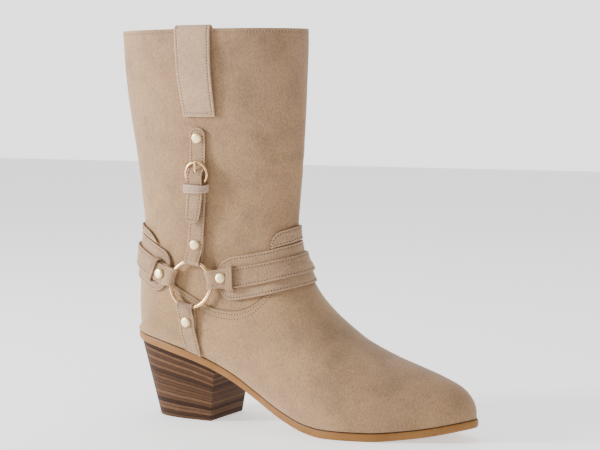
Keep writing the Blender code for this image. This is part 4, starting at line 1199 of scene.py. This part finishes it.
def make_bottom_strap(line, seat):
    """Doubled round the ring's lower wire and down to the sole."""
    half = BOTTOM_STRAP_WIDTH / 2
    clear = RING_RADIUS + RING_WIRE * SMALL_LOOP["leave"]
    rise = RING_RADIUS + RING_WIRE * SMALL_LOOP["meet"]
    back_end = BOTTOM_BACK_END * RING_RADIUS
    lie_down = BOTTOM_LIE_DOWN * line.length
    rows = laid_rows(line, even_stations(back_end, clear, half), FIRST_LIFT)
    rows += seat.loop("bottom", line.at(RING_RADIUS)[1], half)
    rows += laid_rows(line, even_stations(rise, back_end + STRAP_THICKNESS, half), SECOND_LIFT)
    rows += laid_rows(line, even_stations(lie_down, BOTTOM_END * line.length, half), FIRST_LIFT)
    rows[-1] = [to_sole(a, b) for a, b in zip(rows[-2], rows[-1])]
    return sheet("bottom_strap", rows)


def make_pull_strap(form):
    """Sewn on the outer side, standing off up to the collar, over it and down inside."""
    half = PULL_WIDTH / 2
    rows = []
    steps, over, inside = PULL_ROWS
    low = level(PULL_BOTTOM[1])
    high = BOOT_HEIGHT - GAP * 2
    outside = PULL_THICKNESS / 2 + LAY_GAP * PULL_CLEAR

    def across(height):
        u = (height - low) / (high - low)
        middle = place(PULL_BOTTOM[0] + (PULL_TOP[0] - PULL_BOTTOM[0]) * u)
        wide = half * (PULL_TAPER + (1 - PULL_TAPER) * u)
        xs = [middle + w for w, _ in laid(wide, 0.0)]
        return [cast(form, Vector((x, -FOOT_LENGTH, height)), Vector((0, 1, 0))) for x in xs]

    for k in range(steps + 1):
        u = k / steps
        lift = outside + PULL_BULGE * math.sin(math.pi * u) ** 1.5
        rows.append([p + n * lift for p, n in across(low + (high - low) * u)])
    rim = across(high)
    radius = SHAFT_WALL / 2 + outside
    for k in range(1, over + 1):
        turn = math.pi * k / (over + 1)
        row = []
        for p, n in rim:
            flat = Vector((n.x, n.y, 0)).normalized()
            middle = p - flat * SHAFT_WALL / 2 + Vector((0, 0, LAY_GAP))
            row.append(middle + (flat * math.cos(turn) + Vector((0, 0, math.sin(turn)))) * radius)
        rows.append(row)
    for k in range(inside):
        height = high - PULL_INSIDE * k / (inside - 1)
        rows.append([p - n * (SHAFT_WALL + outside) for p, n in across(height)])
    return sheet("pull_strap", rows, PULL_THICKNESS, "pull")


def facing(point, out, up):
    """A placement whose Z is out and whose Y is nearest to up."""
    side = up.cross(out).normalized()
    return Matrix.Translation(point) @ Matrix((side, out.cross(side), out)).transposed().to_4x4()


def round_ring(bm, middle, side, up, count):
    """New points evenly round a middle, turning from side towards up."""
    ring = []
    for j in range(count):
        turn = 2 * math.pi * j / count
        ring.append(bm.verts.new(middle + side * math.cos(turn) + up * math.sin(turn)))
    return ring


def bridge(bm, rings, capped=False):
    """Faces between each two rings of points, and over the two ends where they are capped."""
    for low, high in zip(rings, rings[1:]):
        for a, b, c, d in zip(low, low[1:] + low[:1], high[1:] + high[:1], high):
            bm.faces.new((a, b, c, d))
    if capped:
        bm.faces.new(rings[0][::-1])
        bm.faces.new(rings[-1])


def make_ring(name, point, out, up, radius, wire, steps):
    """A round wire ring."""
    bm = bmesh.new()
    rings = []
    for k in range(steps):
        turn = 2 * math.pi * k / steps
        way = Vector((math.cos(turn), math.sin(turn), 0))
        arms = (way * wire / 2, Vector((0, 0, wire / 2)))
        rings.append(round_ring(bm, way * radius, *arms, WIRE_FACES))
    bridge(bm, rings + rings[:1])
    bmesh.ops.recalc_face_normals(bm, faces=bm.faces)
    bmesh.ops.transform(bm, matrix=facing(point, out, up), verts=bm.verts)
    return new_object(name + "_dressed", bm, LOOKS["gold"])


def rod(name, points, thickness, look="gold", blunt=True):
    """A round bar along points, rounded at its ends unless it isn't blunt."""
    bm = bmesh.new()
    rings = []
    last = len(points) - 1
    for k, point in enumerate(points):
        way = (points[min(k + 1, last)] - points[max(k - 1, 0)]).normalized()
        side = way.orthogonal().normalized() if not rings else side
        side = (side - way * side.dot(way)).normalized()
        end = min(k, last - k)
        slim = math.sqrt(1 - (1 - min(end, 3) / 3) ** 2 * 0.9) if blunt else 1.0
        reach = thickness / 2 * slim
        rings.append(round_ring(bm, point, side * reach, way.cross(side) * reach, WIRE_FACES))
    bridge(bm, rings, capped=True)
    bmesh.ops.recalc_face_normals(bm, faces=bm.faces)
    return new_object(name, bm, LOOKS[look])


def make_rivet(name, point, out):
    """A low dome with a fine rim, turned about the rivet's axis."""
    profile = [(0.0, 1.0)]
    for k in range(1, 17):
        reach = math.sin(math.pi / 2 * k / 16)
        profile.append((RIVET_DOME * reach, (1 + (1 - reach**3) ** (1 / 3)) / 2))
    bm = bmesh.new()
    rings = []
    for share, rise in (*profile, *RIVET_RIM):
        reach = RIVET_RADIUS * share
        middle = Vector((0, 0, RIVET_RISE * rise))
        rings.append(round_ring(bm, middle, Vector((reach, 0, 0)), Vector((0, reach, 0)), 48))
    bridge(bm, rings)
    bm.faces.new(rings[-1])
    bmesh.ops.remove_doubles(bm, verts=bm.verts, dist=1e-6)
    bmesh.ops.recalc_face_normals(bm, faces=bm.faces)
    bmesh.ops.transform(bm, matrix=facing(point, out, Vector((0, 0, 1))), verts=bm.verts)
    return new_object(name + "_dressed", bm, LOOKS["rivet"])


def make_buckle(buckle):
    """A round frame with a middle bar, and the prong that lies on its upper rim."""
    centre = buckle.spot(0.0, BUCKLE_LIFT)
    frame = make_ring("buckle", centre, buckle.out, buckle.up, BUCKLE_RADIUS, BUCKLE_WIRE, 72)
    bar = buckle.spot(-BAR_DROP / BUCKLE_RADIUS, BUCKLE_LIFT)
    reach = buckle.across * math.sqrt(BUCKLE_RADIUS**2 - BAR_DROP**2)
    points = [bar + reach * (k / 4 - 1) for k in range(9)]
    rod("buckle_bar_dressed", points, BAR_WIRE, blunt=False).parent = frame
    start = bar + buckle.out * ((BAR_WIRE + PRONG_WIRE) / 2 + GAP)
    rim = buckle.up * (BUCKLE_RADIUS + BUCKLE_WIRE * 0.4)
    end = centre + buckle.out * ((BUCKLE_WIRE + PRONG_WIRE) / 2 + GAP) + rim
    rod("prong_dressed", [start.lerp(end, k / 16) for k in range(17)], PRONG_WIRE)
    return start - (end - start) * 0.12, end


class Thread:
    """Gathers rows of stitches into two meshes: rounded bits of thread, and their pinholes as small
    dark cones of painted shade.
    """

    def __init__(self):
        self.bm = bmesh.new()
        self.holes = bmesh.new()

    # A pinhole as a small dark cone on the surface: painted shade.
    def hole(self, point, way, out):
        side = way.cross(out).normalized() * HOLE_WIDTH / 2
        ring = round_ring(self.holes, point, side, way * HOLE_WIDTH / 2, 6)
        top = self.holes.verts.new(point + out * HOLE_WIDTH * 0.12)
        for j in range(6):
            self.holes.faces.new((ring[j], ring[(j + 1) % 6], top))
        self.holes.faces.new(ring[::-1])

    def stitch(self, point, way, out):
        """One stitch with its middle at point, along way, lying on a surface facing out."""
        side = way.cross(out).normalized()
        up = side.cross(way).normalized()
        rings = []
        for share, slim in STITCH_SHAPE:
            sink = abs(share) ** 2 * 4 * STITCH_WIDTH * 0.35
            middle = point + way * (STITCH_LENGTH * share) - up * sink
            reach = STITCH_WIDTH / 2 * slim
            rings.append(round_ring(self.bm, middle, side * reach, up * reach * 0.75, 6))
        bridge(self.bm, rings, capped=True)
        self.hole(point + way * STITCH_PITCH / 2, way, out)

    def run(self, path, closed=False):
        """Stitches at an even pitch along a path of (point, outward normal)."""
        if closed:
            path = path + path[:1]
        marks = [0.0]
        for (a, _), (b, _) in zip(path, path[1:]):
            marks.append(marks[-1] + (b - a).length)
        count = int(marks[-1] / STITCH_PITCH)
        k = 0
        for i in range(count):
            goal = (i + 0.5) * marks[-1] / count
            while k < len(path) - 2 and marks[k + 1] < goal:
                k += 1
            (a, n), (b, m) = path[k], path[k + 1]
            span = marks[k + 1] - marks[k]
            if span < 1e-7:
                continue
            u = (goal - marks[k]) / span
            self.stitch(a.lerp(b, u), (b - a).normalized(), n.lerp(m, u).normalized())

    def finish(self, name):
        bmesh.ops.recalc_face_normals(self.bm, faces=self.bm.faces)
        new_object(name + "_thread", self.bm, LOOKS["thread"])
        new_object(name + "_holes", self.holes, LOOKS["hole"])


def sheet_point(rows, k, f, thickness, form):
    """The outer face of a dressed strap at f points along its row k, with its normal."""
    row = rows[k]
    i = min(int(f), len(row) - 2)
    point = row[i].lerp(row[i + 1], f - i)
    across = row[i + 1] - row[i]
    way = rows[k + 1][i] - rows[k - 1][i]
    normal = across.cross(way).normalized()
    _, out, _, _ = form[0].find_nearest(point)
    if normal.dot(out) < 0:
        normal = -normal
    return point + normal * (thickness / 2 + STITCH_PROUD), normal


def row_width(row):
    return sum((b - a).length for a, b in zip(row, row[1:]))


def sheet_edge(name, form, side, first=0.0, last=0.0, inset=EDGE_TO_STITCH):
    """A path along one edge of a dressed strap: side -1 low, 1 high; ends left out by distance."""
    fine, marks, thickness = SHEETS[name]
    rows = [[Vector(p) for p in row] for row in fine]
    path = []
    for k in range(1, len(rows) - 1):
        if marks[k] < first or marks[k] > marks[-1] - last:
            continue
        wide = row_width(rows[k])
        if wide < inset * 2.4:
            continue
        f = inset / wide * (len(rows[k]) - 1)
        f = f if side < 0 else len(rows[k]) - 1 - f
        path.append(sheet_point(rows, k, f, thickness, form))
    return path


def sheet_end(name, form, last, inset):
    """A path across a dressed strap from its low edge to its high one, just inside an end."""
    fine, marks, thickness = SHEETS[name]
    rows = [[Vector(p) for p in row] for row in fine]
    order = range(1, len(rows) - 1)
    for k in reversed(order) if last else order:
        far = marks[-1] - marks[k] if last else marks[k]
        wide = row_width(rows[k])
        if far >= inset and wide >= inset * 2.4:
            break
    low = inset / wide * (len(rows[k]) - 1)
    high = len(rows[k]) - 1 - low
    return [sheet_point(rows, k, low + (high - low) * j / 12, thickness, form) for j in range(13)]


def sew_round(thread, name, form, inset=EDGE_TO_STITCH):
    """Stitches all round a strap or patch."""
    low = sheet_edge(name, form, -1, inset, inset, inset)
    high = sheet_edge(name, form, 1, inset, inset, inset)
    first = sheet_end(name, form, False, inset)
    last = sheet_end(name, form, True, inset)
    thread.run(low + last[1:-1] + high[::-1] + first[::-1][1:-1], closed=True)


def sew_upper(thread, form, upper):
    """Rows on the upper: under the collar, beside the front and rear seams, on the panel."""
    skin = (form[0], BVHTree.FromObject(upper, bpy.context.evaluated_depsgraph_get()))

    def around(degrees, height):
        turn = math.radians(degrees)
        way = Vector((math.cos(turn), math.sin(turn), 0))
        axis = Vector((place(ANKLE_AXIS), 0, height))
        point, _, _, _ = skin[1].ray_cast(axis + way * FOOT_LENGTH, -way)
        out = skin[0].find_nearest(point)[1]
        return point + out * STITCH_PROUD, out

    collar = BOOT_HEIGHT - COLLAR_ROW
    thread.run([around(k, collar) for k in range(0, 361, 3)])
    for seam, side, low in SEAM_ROWS:
        path = []
        for k in range(SEAM_MARKS + 1):
            height = level(low) + (collar - level(low)) * k / SEAM_MARKS
            path.append(around(seam + side * SEAM_TO_ROW, height))
        thread.run(path)
    first = PANEL_EDGE[0][0]
    last = PANEL_EDGE[-1][0]
    for side in (-1, 1):
        for below in PANEL_ROWS:
            path = []
            for k in range(PANEL_MARKS + 1):
                u = PANEL_MARGIN + (1 - 2 * PANEL_MARGIN) * k / PANEL_MARKS
                x = place(first + (last - first) * u)
                start = Vector((x, side * FOOT_LENGTH, panel_line(x) - below))
                point, _, _, _ = skin[1].ray_cast(start, Vector((0, -side, 0)))
                if point is None:
                    continue
                out = skin[0].find_nearest(point)[1]
                path.append((point + out * STITCH_PROUD, out))
            thread.run(path)


class Paint:
    """A material or sky made of nodes, with short ways to add and join them."""

    def __init__(self, holder):
        holder.use_nodes = True
        self.holder = holder
        self.nodes = holder.node_tree.nodes
        self.links = holder.node_tree.links

    def put(self, socket, value):
        """Gives a socket the output of another node, a number or a colour."""
        if isinstance(value, bpy.types.NodeSocket):
            self.links.new(value, socket)
        else:
            socket.default_value = (*value, 1.0) if socket.type == "RGBA" else value

    def node(self, kind, inputs, output, **settings):
        """One output of a new node with these inputs and settings."""
        node = self.nodes.new("ShaderNode" + kind)
        for name, value in settings.items():
            setattr(node, name, value)
        for name, value in inputs.items():
            self.put(node.inputs[name], value)
        return node.outputs[output]

    def where(self, kind="Object"):
        return self.node("TexCoord", {}, kind)

    def kept(self, name):
        """A value kept on the mesh's points."""
        return self.node("Attribute", {}, "Fac", attribute_name=name)

    def axes(self, source):
        node = self.nodes.new("ShaderNodeSeparateXYZ")
        self.links.new(source, node.inputs["Vector"])
        return [node.outputs[name] for name in "XYZ"]

    def noise(self, source, scale, detail, roughness=0.55, stretch=None):
        """A noise over object coordinates, in one per metre."""
        if stretch:
            source = self.node("Mapping", {"Vector": source, "Scale": stretch}, "Vector")
        inputs = {"Vector": source, "Scale": scale, "Detail": detail, "Roughness": roughness}
        return self.node("TexNoise", inputs, "Fac")

    def ramp(self, source, *stops):
        """A ramp over a value through stops of (place, grey or colour)."""
        node = self.nodes.new("ShaderNodeValToRGB")
        self.links.new(source, node.inputs["Fac"])
        elements = node.color_ramp.elements
        while len(elements) < len(stops):
            elements.new(0.5)
        for element, (at, tone) in zip(elements, stops):
            element.position = at
            element.color = (*tone, 1.0) if isinstance(tone, tuple) else (tone, tone, tone, 1.0)
        return node.outputs["Color"]

    def times(self, first, second):
        settings = {"data_type": "RGBA", "blend_type": "MULTIPLY"}
        return self.node("Mix", {0: 1.0, 6: first, 7: second}, 2, **settings)

    def vary(self, tone, source, *stops):
        """A tone multiplied by a ramp."""
        return self.times(tone, self.ramp(source, *stops))

    def math(self, kind, *values):
        return self.node("Math", dict(enumerate(values)), "Value", operation=kind)

    def bump(self, height, strength, distance, normal=None):
        inputs = {"Strength": strength, "Distance": distance, "Height": height}
        if normal:
            inputs["Normal"] = normal
        return self.node("Bump", inputs, "Normal")

    def span(self, value, low, high, **limits):
        """A value spread between low and high."""
        inputs = {"Value": value, "To Min": low, "To Max": high}
        return self.node("MapRange", inputs, "Result", **limits)

    def band(self, value, centre, half):
        """A soft line where a value passes a centre: 1 on it, 0 from half a width away."""
        off = self.math("ABSOLUTE", self.math("SUBTRACT", value, centre))
        near = self.math("DIVIDE", off, half)
        return self.span(near, 1.0, 0.0, interpolation_type="SMOOTHSTEP")

    def finish(self, inputs):
        shader = self.nodes["Principled BSDF"]
        for name, value in inputs.items():
            self.put(shader.inputs[name], value)
        return self.holder


def painted(name):
    """A new material's nodes, and its object coordinates."""
    paint = Paint(bpy.data.materials.new(name))
    return paint, paint.where()


def strap_lines(paint, _):
    """Tone and height of a strap near its edge: a painted highlight on its rim, and the trough of
    its stitches, darkened with painted shade.
    """
    share = paint.math("DIVIDE", paint.kept("edge"), EDGE_REACH)
    # Painted highlight at the very rim, and painted shade in the stitches' trough.
    tone = paint.ramp(share, (0.00, 1.14), (0.20, 1.10), (0.34, 0.98), (0.43, 0.92),
                      (0.52, 0.98), (0.75, 1.0))
    height = paint.ramp(share, (0.00, 0.45), (0.18, 0.75), (0.33, 0.50), (0.43, 0.12),
                        (0.53, 0.50), (0.85, 1.0))
    return tone, height


def upper_lines(paint, where):
    """Painted shade and height of the upper's seams: the panel's edge, and the front and rear seams.
    """
    x, y, _ = paint.axes(where)
    panel = paint.kept("panel")
    total = paint.band(panel, *PANEL_LINE)
    above = paint.math("GREATER_THAN", panel, 0.0)
    x = paint.math("SUBTRACT", x, place(ANKLE_AXIS))
    for degrees in (FRONT_SEAM, REAR_SEAM):
        turn = math.radians(degrees)
        across = paint.math("SUBTRACT", paint.math("MULTIPLY", x, math.sin(turn)),
                            paint.math("MULTIPLY", y, math.cos(turn)))
        along = paint.math("MULTIPLY", x, math.copysign(1.0, math.cos(turn)))
        mask = paint.math("MULTIPLY", above, paint.math("GREATER_THAN", along, 0.0))
        line = paint.math("MULTIPLY", mask, paint.band(across, 0.0, SEAM_HALF))
        total = paint.math("MAXIMUM", total, line)
    # Painted shade: the lines darken the suede, and sink it as grooves.
    return paint.ramp(total, (0.0, 1.0), (1.0, 0.72)), paint.math("SUBTRACT", 1.0, total)


def suede(name, lit_warm, shaded_cool, lines, dark):
    """Napped leather: broad mottling, brushed streaks, a fine nap, a broad blend of tone that is
    partly painted light, painted highlight and shade at a strap's edges, and painted shade along the
    upper's seams.
    """
    paint, where = painted(name)
    x, _, z = paint.axes(where)
    # Partly painted light: a broad blend from the lighter first tone, low and towards the heel, to
    # the darker second tone towards the toe and collar. It is partly the leather's own shift of hue
    # and partly painted light falling from the left and from below.
    side = paint.math("ADD", paint.math("MULTIPLY_ADD", x, 4.2, -0.05),
                      paint.math("MULTIPLY_ADD", z, 3.2, -0.28))
    side = paint.math("MULTIPLY_ADD", paint.noise(where, 26.0, 4.0, 0.6), 1.5,
                      paint.math("SUBTRACT", side, 0.72))
    tone = paint.ramp(side, (0.0, lit_warm), (1.0, shaded_cool))
    patches = paint.noise(where, 42.0, 5.0, 0.62)
    tone = paint.vary(tone, patches, (0.32, (dark, dark * 1.02, dark * 1.07)),
                      (0.50, (0.97, 0.97, 0.98)), (0.70, (1.09, 1.09, 1.08)))
    brushed = paint.noise(where, 950.0, 3.0, 0.6, (1.0, 1.0, 0.60))
    tone = paint.vary(tone, brushed, (0.30, 0.74), (0.52, 1.0), (0.75, 1.22))
    # The lines' tone is painted light: a highlight and shade at a strap's edges, and shade along the
    # upper's seams.
    painted_line_shading, line_height = lines(paint, where)
    normal = paint.bump(brushed, 0.35, 0.0004)
    normal = paint.bump(paint.noise(where, 2600.0, 2.0, 0.7), 0.30, 0.0002, normal)
    normal = paint.bump(patches, 0.25, 0.0012, normal)
    return paint.finish({
        "Base Color": paint.times(tone, painted_line_shading),
        "Normal": paint.bump(line_height, 0.8, 0.0004, normal),
        "Roughness": 0.92,
        "Specular IOR Level": 0.18,
        "Sheen Weight": 0.24,
        "Sheen Roughness": 0.55,
        "Sheen Tint": (1.0, 0.88, 0.76),
    })


def plain(name, colour, roughness, grain=900.0, depth=0.0002):
    """A surface with slight variation of tone and a fine grain."""
    paint, where = painted(name)
    return paint.finish({
        "Base Color": paint.vary(colour, paint.noise(where, 60.0, 4.0), (0.3, 0.85), (0.7, 1.1)),
        "Normal": paint.bump(paint.noise(where, grain, 3.0), 0.3, depth),
        "Roughness": roughness,
        "Coat Roughness": 0.25,
    })


def gold(name, low, high, smooth_rough, dull_rough):
    """Pale gold between two tones, with faint unevenness of its polish."""
    paint, where = painted(name)
    smear = paint.noise(where, 300.0, 3.0)
    return paint.finish({
        "Base Color": paint.ramp(smear, (0.3, low), (0.7, high)),
        "Roughness": paint.span(smear, smooth_rough, dull_rough),
        "Metallic": 1.0,
    })


def stacked(name, layers):
    """Layered heel: brown layers with dark joints, by each point's share of the height."""
    paint, where = painted(name)
    height = paint.math("MULTIPLY", paint.kept("stack"), float(layers))
    height = paint.math("MULTIPLY_ADD", paint.noise(where, 90.0, 2.0), 0.25, height)
    layer = {"W": paint.math("FLOOR", height)}
    pick = paint.node("TexWhiteNoise", layer, "Value", noise_dimensions="1D")
    tone = paint.ramp(pick, (0.0, (0.030, 0.013, 0.007)), (0.5, (0.066, 0.031, 0.016)),
                      (1.0, (0.125, 0.064, 0.033)))
    joint = paint.ramp(paint.math("FRACT", height), (0.0, 0.30), (0.16, 0.75), (0.55, 1.15),
                       (1.0, 0.85))
    grain = paint.noise(where, 260.0, 5.0, 0.6, (1.0, 1.0, 5.0))
    return paint.finish({
        "Base Color": paint.vary(paint.times(tone, joint), grain, (0.3, 0.75), (0.7, 1.2)),
        "Normal": paint.bump(joint, 0.35, 0.0004),
        "Roughness": 0.62,
        "Specular IOR Level": 0.10,
    })


def sole_edge(name):
    """Painted tan edge, darker towards its bottom, with painted shade along its top where the upper
    meets it.
    """
    paint, where = painted(name)
    patches = paint.noise(where, 45.0, 4.0)
    tone = paint.ramp(patches, (0.3, (0.235, 0.100, 0.024)), (0.7, (0.300, 0.138, 0.038)))
    # Darker towards the bottom, and a band of painted shade along the top where the upper meets the
    # sole.
    tone = paint.vary(tone, paint.kept("stack"), (0.0, 0.80), (0.12, 1.0), (0.86, 1.0),
                      (0.97, 0.32))
    grain = paint.noise(where, 500.0, 4.0, 0.6, (1.0, 1.0, 4.0))
    return paint.finish({
        "Base Color": paint.vary(tone, grain, (0.3, 0.90), (0.7, 1.07)),
        "Normal": paint.bump(grain, 0.25, 0.0002),
        "Roughness": 0.5,
        "Specular IOR Level": 0.25,
    })


def tread(name, colour):
    """An underside: fine crosswise ribs over slightly varied leather."""
    paint, where = painted(name)
    ribs = {"Scale": 110.0, "Distortion": 0.6, "Vector": where}
    return paint.finish({
        "Base Color": paint.vary(colour, paint.noise(where, 40.0, 5.0), (0.3, 0.8), (0.7, 1.1)),
        "Normal": paint.bump(paint.node("TexWave", ribs, "Fac"), 0.5, 0.0004),
        "Roughness": 0.7,
    })


def make_looks():
    """All materials, by the short names that the pieces use."""
    pull = (0.455, 0.298, 0.182)
    # Each suede's first tone is the lit end of the painted light's blend, and its second tone the
    # shaded end.
    for key, lit_warm, shaded_cool, lines, dark in (
        ("body", (0.372, 0.226, 0.113), (0.310, 0.186, 0.106), upper_lines, 0.76),
        ("strap", (0.385, 0.240, 0.134), (0.365, 0.229, 0.134), strap_lines, 0.80),
        ("pull", pull, pull, strap_lines, 0.92),
        ("pale", (0.47, 0.31, 0.22), (0.47, 0.31, 0.23), strap_lines, 0.90),
    ):
        LOOKS[key] = suede("suede_" + key, lit_warm, shaded_cool, lines, dark)
    for key, *values in (
        ("cut_edge", (0.22, 0.135, 0.085), 0.85),
        ("lining", (0.50, 0.41, 0.32), 0.75, 1400.0),
        ("thread", (0.40, 0.265, 0.165), 0.7, 3000.0, 0.0001),
    ):
        LOOKS[key] = plain(key, *values)
    LOOKS["gold"] = gold("pale_gold", (0.86, 0.52, 0.25), (0.92, 0.62, 0.34), 0.22, 0.29)
    LOOKS["rivet"] = gold("rivet_gold", (0.98, 0.74, 0.40), (1.0, 0.80, 0.46), 0.40, 0.52)
    LOOKS["stacked"] = stacked("stacked_heel", HEEL_LAYERS)
    LOOKS["sole_edge"] = sole_edge("sole_edge")
    LOOKS["sole_tread"] = tread("sole_tread", (0.36, 0.22, 0.12))
    LOOKS["heel_tread"] = tread("heel_tread", (0.05, 0.035, 0.028))
    # Near black for pinholes and adjusting holes: painted shade inside the holes.
    LOOKS["hole"] = plain("hole", (0.035, 0.020, 0.012), 0.9)


def aimed(name, data, place_at, aim):
    """A lamp or camera that looks at a point."""
    obj = bpy.data.objects.new(name, data)
    obj.location = place_at
    way = Vector(aim) - Vector(place_at)
    obj.rotation_euler = way.to_track_quat("-Z", "Y").to_euler()
    bpy.context.scene.collection.objects.link(obj)
    return obj


def set_stage():
    """Camera, pale floor and soft light."""
    scene = bpy.context.scene
    data = bpy.data.cameras.new("camera")
    data.lens = CAMERA_LENS
    data.sensor_width = 36.0
    scene.camera = aimed("camera", data, CAMERA_PLACE, CAMERA_AIM)

    bm = bmesh.new()
    bmesh.ops.create_grid(bm, x_segments=1, y_segments=1, size=4.0)
    material = Paint(bpy.data.materials.new("floor_pale")).finish({
        "Base Color": (0.93, 0.93, 0.925),
        "Roughness": 0.7,
        "Emission Color": (1.0, 1.0, 1.0),
        "Emission Strength": FLOOR_GLOW,
    })
    floor = new_object("floor", bm, material, collection=scene.collection)

    scene.world = bpy.data.worlds.new("studio")
    paint = Paint(scene.world)
    x, y, _ = paint.axes(paint.where("Generated"))
    behind = paint.math("ADD", paint.math("MULTIPLY", x, -0.5), paint.math("MULTIPLY", y, 0.87))
    spread = paint.nodes.new("ShaderNodeMapRange")
    spread.interpolation_type = "SMOOTHSTEP"
    for name, value in (("Value", behind), ("From Min", 0.25), ("From Max", 0.85),
                        ("To Min", SKY_FRONT), ("To Max", SKY_BEHIND)):
        paint.put(spread.inputs[name], value)
    sky = paint.nodes["Background"]
    paint.put(sky.inputs["Color"], (1.0, 1.0, 1.0))
    paint.put(sky.inputs["Strength"], spread.outputs["Result"])
    for name, place_at, aim, size, power in LIGHTS:
        data = bpy.data.lights.new(name, "AREA")
        data.shape = "RECTANGLE"
        data.size, data.size_y = size
        data.energy = power
        aimed(name, data, place_at, aim)


def cut_holes(upright, buckle):
    """The adjusting holes above the buckle, as dark discs of painted shade."""
    for up in STRAP_HOLES:
        near = (up - 1.0) * BUCKLE_RADIUS
        point, _, out = upright.at(buckle.distance + BUCKLE_RADIUS + near)
        rise = FIRST_LIFT + STRAP_THICKNESS / 2 + HOLE_PROUD
        spot = [point + out * (rise + lift) for lift in (0.0, HOLE_DISC)]
        rod(f"strap_hole_{up:.0f}", spot, STRAP_HOLE, "hole", False)


def clear_prong(straps, behind, end):
    """Makes room for the prong where it passes through straps."""
    slot = [behind.lerp(end, k / 4) for k in range(5)]
    clearance = rod("prong_clearance", slot, PRONG_WIRE + 2 * GAP, blunt=False)
    for obj in straps:
        combine(obj, clearance, "DIFFERENCE")
        settle(obj)
    bpy.data.objects.remove(clearance)


def make_fittings(harness, upright, bottom, buckle):
    """Keepers over the straps, and the rivets."""
    play = LAY_GAP + KEEPER_THICKNESS / 2
    above = OUTER_LIFT + STRAP_THICKNESS / 2 + play
    low = BACKING_LIFT + STRAP_THICKNESS / 2 + LAY_GAP
    marks = staple(HARNESS_WIDTH / 2 + play, low, above)
    fronts = HARNESS_PLACES["front"]
    rears = HARNESS_PLACES["rear"]
    rear = harness.length - rears["keeper"] * RING_RADIUS
    make_keeper("front_keeper", harness, fronts["keeper"] * RING_RADIUS, KEEPER_LENGTH, marks)
    make_keeper("rear_keeper", harness, rear, KEEPER_LENGTH, marks)
    over_tail = TAIL[0][1] * BUCKLE_RADIUS + STRAP_THICKNESS / 2 + 2 * play
    marks = staple(BUCKLE_STRAP_WIDTH / 2 + play, LAY_GAP, over_tail)
    beside = buckle.distance + BUCKLE_KEEPER_PLACE * BUCKLE_RADIUS
    make_keeper("buckle_keeper", upright, beside, BUCKLE_KEEPER_LENGTH, marks, "pale")
    single = FIRST_LIFT + STRAP_THICKNESS / 2 + LAY_GAP
    double = SECOND_LIFT + STRAP_THICKNESS / 2 + LAY_GAP
    triple = OUTER_LIFT + STRAP_THICKNESS / 2 + 2 * LAY_GAP
    for name, line, distance, lift in (
        ("front", harness, fronts["rivet"] * RING_RADIUS, triple),
        ("rear", harness, harness.length - rears["rivet"] * RING_RADIUS, triple),
        ("bottom", bottom, BOTTOM_RIVET * RING_RADIUS, double),
        ("loop", upright, UPRIGHT_RIVET * RING_RADIUS, double),
        ("top", upright, TOP_RIVET * upright.length, single),
    ):
        point, _, out = line.at(distance)
        make_rivet(name + "_rivet", point + out * lift, out)


def sew(form, upper):
    """All stitches."""
    thread = Thread()
    for name in ("backing_strap", "front_patch", "rear_patch", "upper_buckle_strap"):
        sew_round(thread, name, form)
    sew_round(thread, "pull_strap", form, PULL_TO_STITCH)
    sew_upper(thread, form, upper)
    for name, (first, last) in SEWN.items():
        for side in (-1, 1):
            thread.run(sheet_edge(name, form, side, first, last))
    thread.finish("stitches")


def main():
    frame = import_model()
    nodes = frame["nodes"]
    parts = bpy.data.collections.new("dressed")
    cutters = bpy.data.collections.new("cutters")
    for collection in (parts, cutters):
        bpy.context.scene.collection.children.link(collection)
    set_stage()
    make_looks()

    upper = make_upper()
    make_outsole()
    make_heel()
    form = laying_form(upper)
    harness = Line(form, round_ankle, HARNESS_LINE)
    upright = Line(form, on_side, UPRIGHT_LINE)
    bottom = Line(form, on_side, BOTTOM_LINE)
    seat = RingSeat(harness, upright, bottom)
    buckle = BuckleSeat(upright)

    make_ring("ring", seat.centre, seat.out, seat.ways["top"], RING_RADIUS, RING_WIRE, 120)
    make_backing_strap(harness)
    make_patch("front_patch", harness, FRONT_PATCH)
    make_patch("rear_patch", harness, REAR_PATCH)
    make_harness_strap(harness, seat)
    make_bottom_strap(bottom, seat)
    lower = make_lower_buckle_strap(upright, seat, buckle)
    higher = make_upper_buckle_strap(upright, buckle)
    prong = make_buckle(buckle)
    cut_holes(upright, buckle)
    clear_prong((lower, higher), *prong)
    make_pull_strap(form)
    make_fittings(harness, upright, bottom, buckle)
    sew(form, upper)

    body = {"ring_dressed": "ring"}
    for obj in list(parts.objects):
        node = obj.name.removesuffix("_dressed")
        if node in nodes:
            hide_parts(node)
        if obj.parent is None:
            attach(obj, body.get(obj.name, "boot"))
    for slot in nodes["insole"].material_slots:
        slot.material = LOOKS["lining"]


main()
